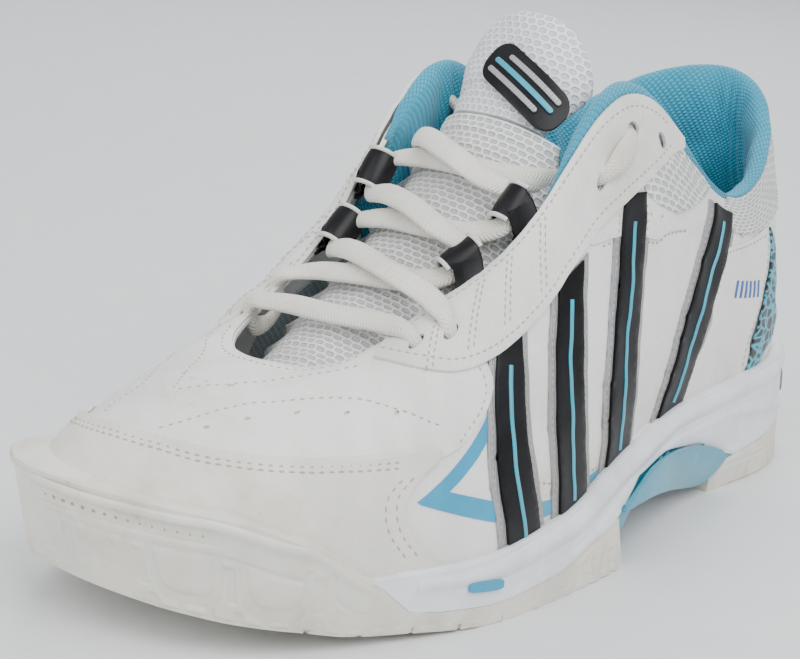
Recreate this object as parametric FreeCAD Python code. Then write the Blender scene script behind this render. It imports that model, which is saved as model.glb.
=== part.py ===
import FreeCAD, Part
import math
import os

V = FreeCAD.Vector

# A left court shoe. +X points to the toe, +Y to the wearer's left (the outer side), +Z up.
# The origin is on the ground, below the middle of the shoe's length and width.
# Stations run round the shoe: 0 is the toe tip, 10 the back of the heel, and a minus sign is the
# inner (medial) side. All sizes are in millimetres.

# ---------------------------------------------------------------- driving dimensions
SHOE_LENGTH = 270.0        # heel to toe, over the rubber
SHOE_WIDTH = 104.0         # across the ball of the foot, over the rubber
HEEL_STACK = 33.0          # ground to the edge that the upper sits in, at the heel
UPPER_RISE = 76.0          # from that edge to the top of the heel
OUTSOLE_THICK = 4.0        # rubber under the foot
RUBBER_WALL = 3.0          # rubber turned up round the midsole
RIM_WALL = 3.0             # midsole foam left outside the upper
RIM_DEPTH = 7.0            # depth of the seat in the midsole
SOLE_GAP = 0.15            # glue line between the sole's pieces
SEAT_GAP = 0.6             # glue line between the upper and its seat
LAYER_GAP = 0.15           # glue line between the upper's layers
UPPER_THICK = 1.4          # synthetic leather of the vamp and quarters
OVERLAY_THICK = 1.1        # toe cap, eyestays and heel overlay
CAGE_THICK = 1.4           # moulded side cage
LINING_THICK = 0.7         # textile lining
COUNTER_THICK = 1.5        # moulded heel counter
PUFF_THICK = 0.8           # toe puff
FOAM_THICK = 5.0           # padding round the collar
BOARD_THICK = 1.2          # sewn-in sole board
SOCKLINER_THICK = 4.0      # loose footbed
SOCKLINER_SPLIT_X = -22.0  # where the footbed bends when its heel is lifted
SOCKLINER_SLACK = 1.2      # play round the loose footbed
TONGUE_THICK = 3.6         # quilted mesh part of the tongue
TONGUE_PAD_THICK = 8.0     # padded top of the tongue
TONGUE_HINGE_Z = 111.0     # height of the fold line, above the last lace
TONGUE_GAP = 0.4           # between the tongue's two parts at the fold
LACE_D = 4.0               # shoelace, as it goes through an eyelet
EYELET_R = 2.4             # punched eyelets
SLEEVE_R = 4.8             # sleeve of a lace loop, outside
SLEEVE_WALL = 0.6
SLEEVE_LENGTH = 12.0
WEB_WALL = 0.4             # webbing inside a sleeve
GEL_THICK = 4.0            # cushioning pads in the midsole
SHANK_THICK = 3.0          # arch bridge

# ---------------------------------------------------------------- grading from the base size
BASE_LENGTH = 270.0
BASE_WIDTH = 104.0
BASE_STACK = 33.0
BASE_RISE = 76.0
GRADE_X = SHOE_LENGTH / BASE_LENGTH
GRADE_Y = SHOE_WIDTH / BASE_WIDTH
GRADE_STACK = HEEL_STACK / BASE_STACK
GRADE_RISE = UPPER_RISE / BASE_RISE
WALL_TOP_Z = 40.0          # height at which WALL_HIGH is measured, at the base size

# Outline of the sole's wall at the ground and at WALL_TOP_Z, at stations 0 to 19.
WALL_LOW = [(121, -17), (118, 9), (105, 28), (82, 40), (49, 51), (15, 52), (-13, 48), (-51, 34),
            (-85, 32), (-116, 26), (-134, -2), (-116, -29), (-85, -35), (-51, -34), (-17, -38),
            (17, -45), (49, -52), (80, -52), (103, -45), (118, -34)]
WALL_HIGH = [(135, -14), (130, 10), (113, 33.5), (84, 49), (49, 51), (19, 48), (-19, 41), (-51, 37.5),
             (-85, 34), (-118, 23.5), (-135, -2), (-118, -27), (-85, -37), (-51, -38.5), (-17, -40),
             (17, -46), (49, -51), (80, -52), (112, -45), (127, -33)]
# The upper's three free rows: above the feather edge, over the instep, and round the throat and collar.
LOW_ROW = [(131, -13, 44), (126, 12, 44), (109.5, 32, 41), (81, 44, 37), (49, 49, 37), (17, 47, 42),
           (-17, 41, 50), (-51, 36, 54), (-85, 32, 54), (-116, 22, 54), (-133, -2, 56), (-116, -26, 54),
           (-85, -36, 54), (-51, -38, 54), (-17, -39, 50), (17, -44, 42), (49, -48, 36), (80, -47, 33),
           (108, -41.5, 36), (124, -31, 40)]
HIGH_ROW = [(107, -10, 55), (104, 6, 56), (90, 21, 57), (71, 30, 59), (45, 33, 65), (13, 34, 79),
            (-19, 35, 92), (-53, 33, 80), (-87, 29, 72), (-113, 20, 76), (-127, -2, 84), (-113, -24, 76),
            (-87, -33, 72), (-53, -36, 80), (-19, -38, 92), (13, -38, 80), (45, -39, 64), (71, -38, 53),
            (91, -32, 50), (102, -22, 52)]
TOP_ROW = [(69, -8, 56), (66, 6, 57), (56, 14, 61), (39, 18, 69), (22, 25, 81), (6, 27, 98),
           (-17, 28, 120), (-43, 29, 108), (-73, 27, 86), (-103, 20, 92), (-124, -2, 109), (-103, -24, 107),
           (-73, -31, 99), (-43, -33, 107), (-19, -34, 117), (5, -30, 102), (21, -29, 82), (39, -29, 67),
           (55, -28, 59), (66, -20, 56)]
STATIONS = len(WALL_LOW)

# Side profiles of the sole, as (x, z) from heel to toe.
RIM_LINE = [(-140, 34), (-115, 33), (-85, 33), (-51, 32), (-17, 28), (17, 20), (49, 17), (80, 18.5),
            (107, 22), (140, 27)]
GROUND_LINE = [(-140, 8), (-128, 3), (-112, 0), (-85, 0), (49, 0), (82, 3), (105, 8), (122, 12),
               (140, 20)]
FOREFOOT_RUBBER_TOP = [(-12, 13), (6, 11), (24, 6.5), (45, 5), (70, 7), (84, 18), (100, 30), (116, 37),
                       (140, 42)]
HEEL_RUBBER_TOP = [(-140, 21), (-120, 13), (-95, 10), (-68, 8)]
FOREFOOT_BACK_X = -8.0
HEEL_FRONT_X = -72.0
ARCH_LINE = [(-76, 2.5), (-66, 3.5), (-54, 6), (-40, 10), (-24, 13.5), (-12, 12), (-4, 6)]
SHANK_TOP = [(-84, 9), (-74, 12), (-60, 17.5), (-40, 21), (-22, 19.5), (-4, 12)]
FAR = 90.0                 # beyond either side of the shoe


# ---------------------------------------------------------------- curves and surfaces of the form
def prefilter(points):
    """Control points of the closed cubic B-spline that passes through the points."""
    control = list(points)
    count = len(points)
    for _ in range(30):
        control = [(points[i] * 6 - control[i - 1] - control[(i + 1) % count]) * 0.25
                   for i in range(count)]
    return control


def round_curve(control, station):
    """Point of a closed uniform cubic B-spline at a station."""
    count = len(control)
    whole = math.floor(station)
    f = station - whole
    weights = ((1 - f) ** 3, 3 * f ** 3 - 6 * f ** 2 + 4, -3 * f ** 3 + 3 * f ** 2 + 3 * f + 1, f ** 3)
    point = V(0, 0, 0)
    for k, weight in enumerate(weights):
        point += control[(whole + k - 1) % count] * (weight / 6)
    return point


def along(points, x):
    """Height of a side profile at x, with smooth steps between its points."""
    if x <= points[0][0]:
        return points[0][1]
    for (x0, z0), (x1, z1) in zip(points, points[1:]):
        if x <= x1:
            f = (x - x0) / (x1 - x0)
            return z0 + (z1 - z0) * (3 - 2 * f) * f * f * 0.5 + (z1 - z0) * f * 0.5
    return points[-1][1]


def wall_point(i, z, inset=0.0):
    """Point of the sole's wall at station i and height z, moved inwards by the inset."""
    share = z / (WALL_TOP_Z * GRADE_STACK)

    def at(k):
        low = WALL_LOW[k % STATIONS]
        high = WALL_HIGH[k % STATIONS]
        return V((low[0] + (high[0] - low[0]) * share) * GRADE_X,
                 (low[1] + (high[1] - low[1]) * share) * GRADE_Y, z)
    side = at(i + 1) - at(i - 1)
    inwards = V(-side.y, side.x, 0).normalize()
    return at(i) + inwards * inset


def rim_z(x):
    return along(RIM_LINE, x / GRADE_X) * GRADE_STACK


def feather_row():
    """The upper's lowest row: just inside the rim of the midsole."""
    row = []
    for i in range(STATIONS):
        x = WALL_HIGH[i][0] * GRADE_X
        row.append(wall_point(i, rim_z(x) - 1, RIM_WALL + SEAT_GAP))
    return row


def graded_row(row, feather):
    """A free row, graded in length and width, and in height above the feather edge."""
    graded = []
    for (x, y, z), foot in zip(row, feather):
        base_foot = foot.z / GRADE_STACK
        graded.append(V(x * GRADE_X, y * GRADE_Y, foot.z + (z - base_foot) * GRADE_RISE))
    return graded


FEATHER = feather_row()
ROWS = [prefilter(FEATHER)]
ROWS += [prefilter(graded_row(row, FEATHER)) for row in (LOW_ROW, HIGH_ROW, TOP_ROW)]


def form(station, t):
    """The upper's outer surface: t runs from the feather edge at 0 to the throat and collar at 1."""
    a, b, c, d = (round_curve(row, station) for row in ROWS)
    return a * (1 - t) ** 3 + b * (3 * (1 - t) ** 2 * t) + c * (3 * (1 - t) * t * t) + d * t ** 3


def form_normal(station, t):
    step = 0.004
    round_way = form(station + step, t) - form(station - step, t)
    up_way = form(station, t + step) - form(station, t - step)
    return round_way.cross(up_way).normalize()


def skin(station, t, height):
    return form(station, t) + form_normal(station, t) * height


# ---------------------------------------------------------------- solids
def even_curve(points):
    """Cubic B-spline through the points, at evenly spaced parameters."""
    curve = Part.BSplineCurve()
    last = len(points) - 1
    curve.interpolate(Points=points, Parameters=[i / last for i in range(last + 1)])
    return curve


def surface_poles(grid):
    """Poles and knots of the cubic surface through a grid of points."""
    lines = [even_curve(line) for line in grid]
    rows = [line.getPoles() for line in lines]
    cross = [even_curve([row[j] for row in rows]) for j in range(len(rows[0]))]
    poles = [list(pair) for pair in zip(*[line.getPoles() for line in cross])]
    return poles, (cross[0].getMultiplicities(), cross[0].getKnots()), \
        (lines[0].getMultiplicities(), lines[0].getKnots())


def surface_face(poles, u_knots, v_knots):
    degree_u = u_knots[0][0] - 1
    surface = Part.BSplineSurface()
    surface.buildFromPolesMultsKnots(poles, u_knots[0], v_knots[0], u_knots[1], v_knots[1], False, False,
                                     degree_u, 3)
    return surface.toShape()


def slab(place, low, high, across=12, up=8):
    """A closed solid between two heights of place(u, v, height)."""
    nets = []
    for height in (low, high):
        grid = [[place(i / across, j / up, height) for j in range(up + 1)] for i in range(across + 1)]
        poles, u_knots, v_knots = surface_poles(grid)
        nets.append(poles)
    through = ([2, 2], [0.0, 1.0])
    faces = [surface_face(net, u_knots, v_knots) for net in nets]
    for end in (0, -1):
        faces.append(surface_face([net[end] for net in nets], through, v_knots))
        faces.append(surface_face([[row[end] for row in net] for net in nets], through, u_knots))
    shell = Part.Shell(faces)
    shell.sewShape()
    solid = Part.Solid(shell)
    if solid.Volume < 0:
        solid.reverse()
    return solid


def rail(points, f):
    """Smooth line through a few (station, t) points, f from 0 to 1."""
    count = len(points) - 1
    k = min(int(f * count), count - 1)
    f = f * count - k
    p0, p1, p2, p3 = (points[min(max(k + d, 0), count)] for d in (-1, 0, 1, 2))
    return tuple(0.5 * (2 * b + (c - a) * f + (2 * a - 5 * b + 4 * c - d) * f * f
                        + (3 * b - a - 3 * c + d) * f ** 3) for a, b, c, d in zip(p0, p1, p2, p3))


def panel(lower, upper, low, high, across=12, up=8):
    """A piece of the upper between two rails on the form and two heights above it."""
    def place(u, v, height):
        s0, t0 = rail(lower, u)
        s1, t1 = rail(upper, u)
        return skin(s0 + (s1 - s0) * v, t0 + (t1 - t0) * v, height)
    return slab(place, low, high, across, up)


def medial(points):
    return [(-s, t) for s, t in points]


def closed_wire(points):
    curve = Part.BSplineCurve()
    curve.interpolate(points, True)
    return Part.Wire([curve.toShape()])


def wall_block(inset, z0, z1):
    """Everything inside the sole's wall, less the inset, between two heights."""
    wires = [closed_wire([wall_point(i, z, inset) for i in range(STATIONS)]) for z in (z0, z1)]
    return Part.makeLoft(wires, True, True)


def side_prism(outline, y0=-FAR, y1=FAR):
    """A side outline of (x, z) points, extruded across the shoe."""
    points = [V(x, y0, z) for x, z in outline]
    return Part.Face(Part.makePolygon(points + points[:1])).extrude(V(0, y1 - y0, 0))


def band(x0, x1, bottom, top):
    """Side prism between two heights, each a function of x, with the same steps for every piece."""
    inner = range(math.ceil(x0 / BAND_STEP), math.floor(x1 / BAND_STEP) + 1)
    xs = [x0] + [k * BAND_STEP for k in inner if x0 < k * BAND_STEP < x1] + [x1]
    return side_prism([(x, bottom(x)) for x in xs] + [(x, top(x)) for x in reversed(xs)])


BAND_STEP = 8.0


def profile(points, lift=0.0):
    return lambda x: along(points, x / GRADE_X) * GRADE_STACK + lift


def tube(start, end, radius):
    return Part.makeCylinder(radius, (end - start).Length, start, end - start)


# ---------------------------------------------------------------- sole unit
ground = profile(GROUND_LINE)
rim = profile(RIM_LINE)
TOE_X = SHOE_LENGTH / 2 + 4
HEEL_X = -SHOE_LENGTH / 2 - 4
FOREFOOT_BACK = FOREFOOT_BACK_X * GRADE_X
HEEL_FRONT = HEEL_FRONT_X * GRADE_X
BLOCK_TOP = 48.0 * GRADE_STACK
GROOVE_W = 1.4
GROOVE_D = 1.6


def rubber_cup(x0, x1, top):
    """Tread with its turned-up wall."""
    outer = wall_block(0, -1, BLOCK_TOP).common(band(x0, x1, ground, top))
    inside = wall_block(RUBBER_WALL, -1, BLOCK_TOP).common(
        band(x0 - 9, x1 + 9, lambda x: ground(x) + OUTSOLE_THICK, lambda x: BLOCK_TOP))
    return outer.cut(inside)


def tread_grooves(x0, x1, count):
    """Flex grooves across the tread, open at the ground and at both sides."""
    cuts = []
    for k in range(count):
        x = x0 + (x1 - x0) * k / (count - 1)
        cuts.append(band(x - GROOVE_W / 2, x + GROOVE_W / 2, lambda x: ground(x) - 3,
                         lambda x: ground(x) + GROOVE_D))
    return Part.makeCompound(cuts)


def outsole_forefoot():
    cup = rubber_cup(FOREFOOT_BACK, TOE_X, profile(FOREFOOT_RUBBER_TOP))
    return cup.cut(tread_grooves(FOREFOOT_BACK + 14, 96 * GRADE_X, 8))


def outsole_heel():
    cup = rubber_cup(HEEL_X, HEEL_FRONT, profile(HEEL_RUBBER_TOP))
    return cup.cut(tread_grooves(-112 * GRADE_X, HEEL_FRONT - 12, 3))


def shank_prism(grow):
    top = profile(SHANK_TOP, grow)
    under = profile(ARCH_LINE, -grow)
    return band(SHANK_TOP[0][0] * GRADE_X - grow, SHANK_TOP[-1][0] * GRADE_X + grow,
                lambda x: max(under(x), top(x) - SHANK_THICK * 3 - 2 * grow), top)


def shank_plate():
    sides = wall_block(0, -1, BLOCK_TOP).common(shank_prism(0))
    rubber = band(-FAR * 2, HEEL_FRONT + SOLE_GAP, lambda x: -9, profile(HEEL_RUBBER_TOP, SOLE_GAP))
    front = band(FOREFOOT_BACK - SOLE_GAP, FAR * 2, lambda x: -9, profile(FOREFOOT_RUBBER_TOP, SOLE_GAP))
    return sides.cut(rubber).cut(front)


GEL_PLACES = {"forefoot_gel_pad": (34, -2, 26, 20), "heel_gel_pad": (-107, -2, 17, 15)}


def gel_pad(name, grow=0.0):
    """An oval pad, sunk in the midsole just above the rubber."""
    x, y, half_length, half_width = GEL_PLACES[name]
    x = x * GRADE_X
    base = max(ground(x - half_length), ground(x + half_length)) + OUTSOLE_THICK + SOLE_GAP * 2
    oval = Part.Ellipse(V(x, y * GRADE_Y, base - grow), half_length + grow, half_width + grow)
    face = Part.Face(Part.Wire([oval.toShape()]))
    return face.extrude(V(0, 0, GEL_THICK + 2 * grow))


INSERT_OUTLINE = [(-134, 28), (-126, 27), (-119, 20), (-124, 17), (-132, 20)]


def heel_insert(side, grow=0.0):
    """Small shaped inlay in the midsole's wall, beside the heel."""
    middle_x = sum(x for x, z in INSERT_OUTLINE) / len(INSERT_OUTLINE)
    middle_z = sum(z for x, z in INSERT_OUTLINE) / len(INSERT_OUTLINE)
    outline = []
    for x, z in INSERT_OUTLINE:
        reach = 1 + grow / math.hypot(x - middle_x, z - middle_z) * 1.6
        outline.append(((middle_x + (x - middle_x) * reach) * GRADE_X,
                        (middle_z + (z - middle_z) * reach) * GRADE_STACK))
    near, far = sorted((side * 6.0 - 2 * GRADE_Y, side * FAR))
    ring = wall_block(0, -1, BLOCK_TOP).cut(wall_block(1.6 + grow, -2, BLOCK_TOP + 1))
    return ring.common(side_prism(outline, near, far))


def midsole():
    block = wall_block(0, -1, BLOCK_TOP)
    core = wall_block(RUBBER_WALL + SOLE_GAP, -1, BLOCK_TOP)
    front_top = profile(FOREFOOT_RUBBER_TOP, SOLE_GAP)
    heel_top = profile(HEEL_RUBBER_TOP, SOLE_GAP)
    toe_cut = 83 * GRADE_X
    shoulder_front = FOREFOOT_BACK - SOLE_GAP
    shoulder_heel = HEEL_FRONT + SOLE_GAP
    body = core.common(band(HEEL_X, TOE_X, lambda x: ground(x) + OUTSOLE_THICK + SOLE_GAP, rim))
    body = body.fuse(block.common(band(HEEL_X, shoulder_heel, heel_top, rim)))
    body = body.fuse(block.common(band(shoulder_heel, shoulder_front,
                                       lambda x: ground(x) + OUTSOLE_THICK + SOLE_GAP, rim)))
    body = body.fuse(block.common(band(shoulder_front, toe_cut, front_top, rim)))
    body = body.cut(band(shoulder_heel, shoulder_front, lambda x: -5, profile(ARCH_LINE)))
    seat = wall_block(RIM_WALL, -1, BLOCK_TOP)
    body = body.cut(seat.common(band(HEEL_X, TOE_X, profile(RIM_LINE, -RIM_DEPTH), lambda x: BLOCK_TOP)))
    body = body.cut(shank_prism(SOLE_GAP))
    for name in GEL_PLACES:
        body = body.cut(gel_pad(name, SOLE_GAP))
    for side in (1, -1):
        body = body.cut(heel_insert(side, SOLE_GAP))
    return body.removeSplitter()


def footbed(inset, above, thick, x0, x1):
    """A flat piece on the floor of the midsole's seat."""
    floor = -RIM_DEPTH + above
    return wall_block(inset, -1, BLOCK_TOP).common(
        band(x0, x1, profile(RIM_LINE, floor), profile(RIM_LINE, floor + thick)))


INSIDE = RIM_WALL + SEAT_GAP + UPPER_THICK + SEAT_GAP


def strobel_board():
    return footbed(INSIDE, SOLE_GAP, BOARD_THICK, HEEL_X, TOE_X)


def sockliner(x0, x1):
    inset = INSIDE + LAYER_GAP + COUNTER_THICK + SOCKLINER_SLACK
    return footbed(inset, 2 * SOLE_GAP + BOARD_THICK, SOCKLINER_THICK, x0, x1)


# ---------------------------------------------------------------- upper
SEAM = 0.012               # half the gap between two butted panels, in stations
FOOT_T = -0.03             # the base layer reaches below the rim
OVER_T = 0.035             # overlays end just above the rim
THROAT_T = 0.985
VAMP_END = 2.45
HEEL_START = 9.3
OVERLAY_LOW = LAYER_GAP
OVERLAY_HIGH = LAYER_GAP + OVERLAY_THICK


def straight(s0, s1, t):
    return [(s0, t), (s1, t)]


def base_panel(s0, s1, across=14):
    return panel(straight(s0, s1, FOOT_T), straight(s0, s1, THROAT_T), -UPPER_THICK, 0, across, 10)


def inner_layer(s0, s1, t0, t1, depth, thick, across=14, up=8):
    top = -UPPER_THICK - depth
    return panel(straight(s0, s1, t0), straight(s0, s1, t1), top - thick, top, across, up)


# The edge of an eyestay away from the throat, and the one along it, from the vamp to the collar.
EYESTAY_OUTER = [(2.5, 0.84), (3.2, 0.73), (3.7, 0.66), (4.2, 0.64), (4.8, 0.66), (5.4, 0.70),
                 (5.9, 0.71), (6.3, 0.76), (7.0, 0.93)]
EYESTAY_INNER = [(2.4, 0.975), (3.0, 0.98), (3.6, 0.98), (4.2, 0.98), (4.8, 0.98), (5.4, 0.98),
                 (6.0, 0.98), (6.6, 0.98), (7.05, 0.97)]
# Blades of the side cage, as (foot station, foot half width, tip station, tip t, tip half width).
CAGE_BLADES = [(4.45, 0.17, 4.3, 0.60, 0.11), (5.15, 0.16, 5.15, 0.63, 0.12),
               (5.85, 0.15, 6.15, 0.66, 0.12), (6.65, 0.15, 7.75, 0.80, 0.11)]
TOE_CAP_LOWER = [(-3.5, 0.03), (-2.7, 0.12), (-1.8, 0.27), (-0.9, 0.33), (0, 0.34), (0.9, 0.33),
                 (1.8, 0.27), (2.7, 0.12), (3.5, 0.03)]
TOE_CAP_UPPER = [(-3.5, 0.44), (-2.7, 0.46), (-1.8, 0.47), (-0.9, 0.48), (0, 0.49), (0.9, 0.49),
                 (1.8, 0.47), (2.7, 0.46), (3.5, 0.45)]
MESH_LOWER = [(6.35, 0.73), (6.6, 0.70), (6.95, 0.73), (7.3, 0.86)]
MESH_UPPER = [(6.42, 0.765), (6.7, 0.82), (6.97, 0.89), (7.25, 0.94)]


def cage(side):
    blades = []
    for foot, foot_half, tip, tip_t, tip_half in CAGE_BLADES:
        middle = (foot + tip) / 2 - 0.1
        front = [(foot - foot_half, OVER_T), (middle - 0.14, tip_t * 0.5), (tip - tip_half, tip_t)]
        back = [(foot + foot_half, OVER_T), (middle + 0.14, tip_t * 0.5), (tip + tip_half, tip_t)]
        front = [(s * side, t) for s, t in front]
        back = [(s * side, t) for s, t in back]
        blades.append(panel(front, back, LAYER_GAP, LAYER_GAP + CAGE_THICK, 8, 3))
    return Part.makeCompound(blades)


def bored(piece, holes):
    for station, t in holes:
        middle = form(station, t)
        normal = form_normal(station, t)
        piece = piece.cut(tube(middle - normal * 12, middle + normal * 6, EYELET_R))
    return piece


# Punched eyelets: two near the vamp and two at the ankle, on each side.
OUTER_EYELETS = [(3.10, 0.84), (3.56, 0.81), (5.62, 0.82), (6.08, 0.89)]
INNER_EYELETS = [(-2.60, 0.93), (-3.10, 0.93), (-5.62, 0.82), (-6.08, 0.89)]


def quarter(side, holes):
    s0, s1 = sorted((side * (VAMP_END + SEAM), side * (HEEL_START - SEAM)))
    return bored(base_panel(s0, s1, 20), holes)


def eyestay(side, holes):
    lower = [(s * side, t) for s, t in EYESTAY_OUTER]
    upper = [(s * side, t) for s, t in EYESTAY_INNER]
    return bored(panel(lower, upper, OVERLAY_LOW, OVERLAY_HIGH, 20, 5), holes)


def collar_layer(depth, thick, t0):
    piece = inner_layer(5.3, 14.7, t0, 0.97, depth, thick, 30, 6)
    return bored(piece, OUTER_EYELETS[2:] + INNER_EYELETS[2:])


# ---------------------------------------------------------------- tongue
# Crown line of the tongue, from under the vamp to its top, and its half width at each point.
TONGUE_LINE = [(80, -2, 48), (66, -2, 54.5), (55, -2, 61), (39, -2, 72), (22, -2, 86), (6, -2, 101.5),
               (-2, -2, 111), (-12, -3, 124), (-20, -3, 136)]
TONGUE_HALF = [18, 20, 20, 18.5, 18.5, 18.5, 19, 25.5, 24]
TONGUE_BEND = [27, 27, 27, 27, 27, 27, 27, 32, 36]   # radius of the instep under the tongue


def tongue_point(u, v, depth):
    """Point of the tongue: u from -1 to 1 across it, v counts the points of its crown line."""
    k = min(int(v), len(TONGUE_LINE) - 2)
    f = v - k
    p0, p1, p2, p3 = (TONGUE_POINTS[min(max(k + d, 0), len(TONGUE_LINE) - 1)] for d in (-1, 0, 1, 2))
    middle = (p1 * 2 + (p2 - p0) * f + (p0 * 2 - p1 * 5 + p2 * 4 - p3) * f * f
              + (p1 * 3 - p0 - p2 * 3 + p3) * f ** 3) * 0.5
    ahead = (p2 - p0) + (p3 - p1 - p2 + p0) * f
    out = V(-ahead.z, 0, ahead.x).normalize()
    out = out if out.z > 0 else out * -1
    half = TONGUE_HALF[k] + (TONGUE_HALF[k + 1] - TONGUE_HALF[k]) * f
    bend = TONGUE_BEND[k] + (TONGUE_BEND[k + 1] - TONGUE_BEND[k]) * f
    angle = u * half / bend
    side = V(0, math.sin(angle), 0) + out * math.cos(angle)
    return middle - out * bend + side * (bend - depth)


TONGUE_POINTS = [V(x * GRADE_X, y * GRADE_Y, rim(18) + (z - 20) * GRADE_RISE) for x, y, z in TONGUE_LINE]


def tongue_row_at(z):
    """The v at which the crown line reaches a height."""
    low, high = 0.0, len(TONGUE_LINE) - 1.0
    for _ in range(40):
        v = (low + high) / 2
        low, high = (v, high) if tongue_point(0, v, 0).z < z else (low, v)
    return v


FOLD_Z = TONGUE_POINTS[0].z + (TONGUE_HINGE_Z - TONGUE_LINE[0][2]) * GRADE_RISE
FOLD_V = tongue_row_at(FOLD_Z)


def tongue_part(v0, v1, thick):
    def place(u, v, depth):
        return tongue_point(2 * u - 1, v0 + (v1 - v0) * v, depth)
    return slab(place, thick, 0, 8, 12)


def tongue_body():
    return tongue_part(0, FOLD_V - 0.03, TONGUE_THICK)


def tongue_top():
    """The padded top: its inner face is thinned at the fold, so that it can tip forwards."""
    v0 = FOLD_V + 0.03
    v1 = len(TONGUE_LINE) - 1.0

    def place(u, v, depth):
        swell = TONGUE_THICK + (TONGUE_PAD_THICK - TONGUE_THICK) * math.sin(math.pi * min(v * 1.2, 1)) ** 0.5
        width = 0.86 + 0.14 * min(v * 2, 1)
        return tongue_point((2 * u - 1) * width, v0 + (v1 - v0) * v, depth * swell)
    return slab(place, 1, 0, 10, 10)


def tongue_badge():
    def place(u, v, depth):
        return tongue_point((2 * u - 1) * 0.5, len(TONGUE_LINE) - 1.75 + v * 0.9, depth)
    return slab(place, -LAYER_GAP, -LAYER_GAP - 2.0, 6, 4)


# ---------------------------------------------------------------- lacing
# Lace loops, each held by webbing from under the eyestay: (station on the throat edge, side).
LOOP_STATIONS = {"lateral": (3.6, 4.56), "medial": (-3.66, -4.42)}
LOOP_REACH = 5.2           # from the throat edge to the axis of a sleeve
LOOP_RAISE = 3.5           # of that axis above the edge


def loop_frame(station):
    """Centre of a sleeve, the direction of its axis, and the way towards the eyestay."""
    edge = form(station, 1)
    axis = (form(station + 0.05, 1) - form(station - 0.05, 1)).normalize()
    outwards = V(0, 1, 0) if station > 0 else V(0, -1, 0)
    outwards = (outwards - axis * outwards.dot(axis)).normalize()
    return edge - outwards * LOOP_REACH + V(0, 0, LOOP_RAISE), axis, outwards


def sleeve(station):
    centre, axis, outwards = loop_frame(station)
    start = centre - axis * (SLEEVE_LENGTH / 2)
    end = centre + axis * (SLEEVE_LENGTH / 2)
    return tube(start, end, SLEEVE_R).cut(tube(start - axis, end + axis, SLEEVE_R - SLEEVE_WALL))


def webbing(station):
    """Webbing turned round inside the sleeve, standing a little out of both its ends."""
    centre, axis, outwards = loop_frame(station)
    start = centre - axis * (SLEEVE_LENGTH / 2 + 1)
    end = centre + axis * (SLEEVE_LENGTH / 2 + 1)
    outer = SLEEVE_R - SLEEVE_WALL - LAYER_GAP
    return tube(start, end, outer).cut(tube(start - axis, end + axis, outer - WEB_WALL))


# One lace, from the tail tucked in beside the foot on the outer side to the one on the inner side.
# Its points stay as chosen for the base size.
LACE_POINTS = [
    (92, 26, 23.5), (73, 33, 21.5), (48, 40, 21), (22, 39, 23), (0, 36, 29), (-12, 31, 43),
    (-18, 26, 64), (-20, 21, 86), (-20, 19.5, 108.4),
    (-19.6, 34.2, 111.4), (-6.4, 35.4, 100.2),
    (-8.8, 20.5, 96.4), (6.5, 15, 98.4), (12, -1.3, 100.2), (9.5, -14, 99), (11.2, -23.9, 96.6),
    (17.8, -23.8, 87.9), (22, -14, 91), (28, 0, 91.6), (30.5, 12, 88), (23.2, 19.2, 81.8),
    (30.9, 15.8, 76), (37.7, 8, 74.8), (41.6, -5, 74.4), (41, -20, 72), (45.2, -30.6, 68.6),
    (40, -31.6, 59), (50, -30.9, 53.9), (54.1, -30.5, 64), (52, -18, 65.6), (53.3, -2, 66.7),
    (50.5, 13, 67.6), (52.1, 25.3, 67.8), (48, 22.7, 57.8), (39.9, 25, 60.8), (44.5, 29.9, 69.6),
    (41, 20, 74), (43, 8, 78), (38.5, -8, 79.2), (34, -18, 77.4), (30.6, -23.8, 74.7),
    (23, -23.8, 81.6), (26, -10, 85.9), (26, 5, 86.2), (21, 14.5, 86), (16.6, 21.2, 87.8),
    (9.8, 21.7, 95.1), (15, 12, 99), (16, 1, 104), (10.5, -11.4, 105), (1.5, -22, 101.5),
    (-9.4, -24.4, 97.4), (-7.5, -39, 99.8), (-21, -39.1, 108.7), (-21.2, -24, 107),
    (-20.5, -26, 85), (-18, -30, 63), (-12, -33, 42), (0, -34, 29), (22, -37.5, 23.5),
    (48, -41, 21), (74, -41, 21.5), (95, -33, 23.5)]
LACE_ARC_SHARE = 0.45      # of the shorter run, taken by an arc on each side of its point
AGLET_R = 1.6
AGLET_LENGTH = 16.0


def lace_point(p):
    return V(p[0] * GRADE_X, p[1] * GRADE_Y, rim(18) + (p[2] - 20) * GRADE_RISE)


def lace_path(points):
    """Straight runs joined by tangent arcs, with the radius of each arc."""
    edges = []
    radii = []
    start = points[0]
    for before, corner, after in zip(points, points[1:], points[2:]):
        back = (before - corner).normalize()
        ahead = (after - corner).normalize()
        half_turn = (math.pi - back.getAngle(ahead)) / 2
        reach = LACE_ARC_SHARE * min((before - corner).Length, (after - corner).Length)
        radii.append(reach / math.tan(half_turn))
        first = corner + back * reach
        last = corner + ahead * reach
        inner = (back + ahead).normalize()
        centre = corner + inner * (radii[-1] / math.cos(half_turn))
        middle = centre - inner * radii[-1]
        edges.append(Part.LineSegment(start, first).toShape())
        edges.append(Part.Arc(first, middle, last).toShape())
        start = last
    edges.append(Part.LineSegment(start, points[-1]).toShape())
    return Part.Wire(edges), radii


def shoelace():
    points = [lace_point(p) for p in LACE_POINTS]
    path, radii = lace_path(points)
    section = Part.Wire([Part.Circle(points[0], points[1] - points[0], LACE_D / 2).toShape()])
    lace = path.makePipeShell([section], True, False, 2)
    expected = math.pi * LACE_D ** 2 / 4 * path.Length
    print("lace length %.0f, radii from %.1f, volume / expected %.4f"
          % (path.Length, min(radii), lace.Volume / expected))
    return lace


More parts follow.
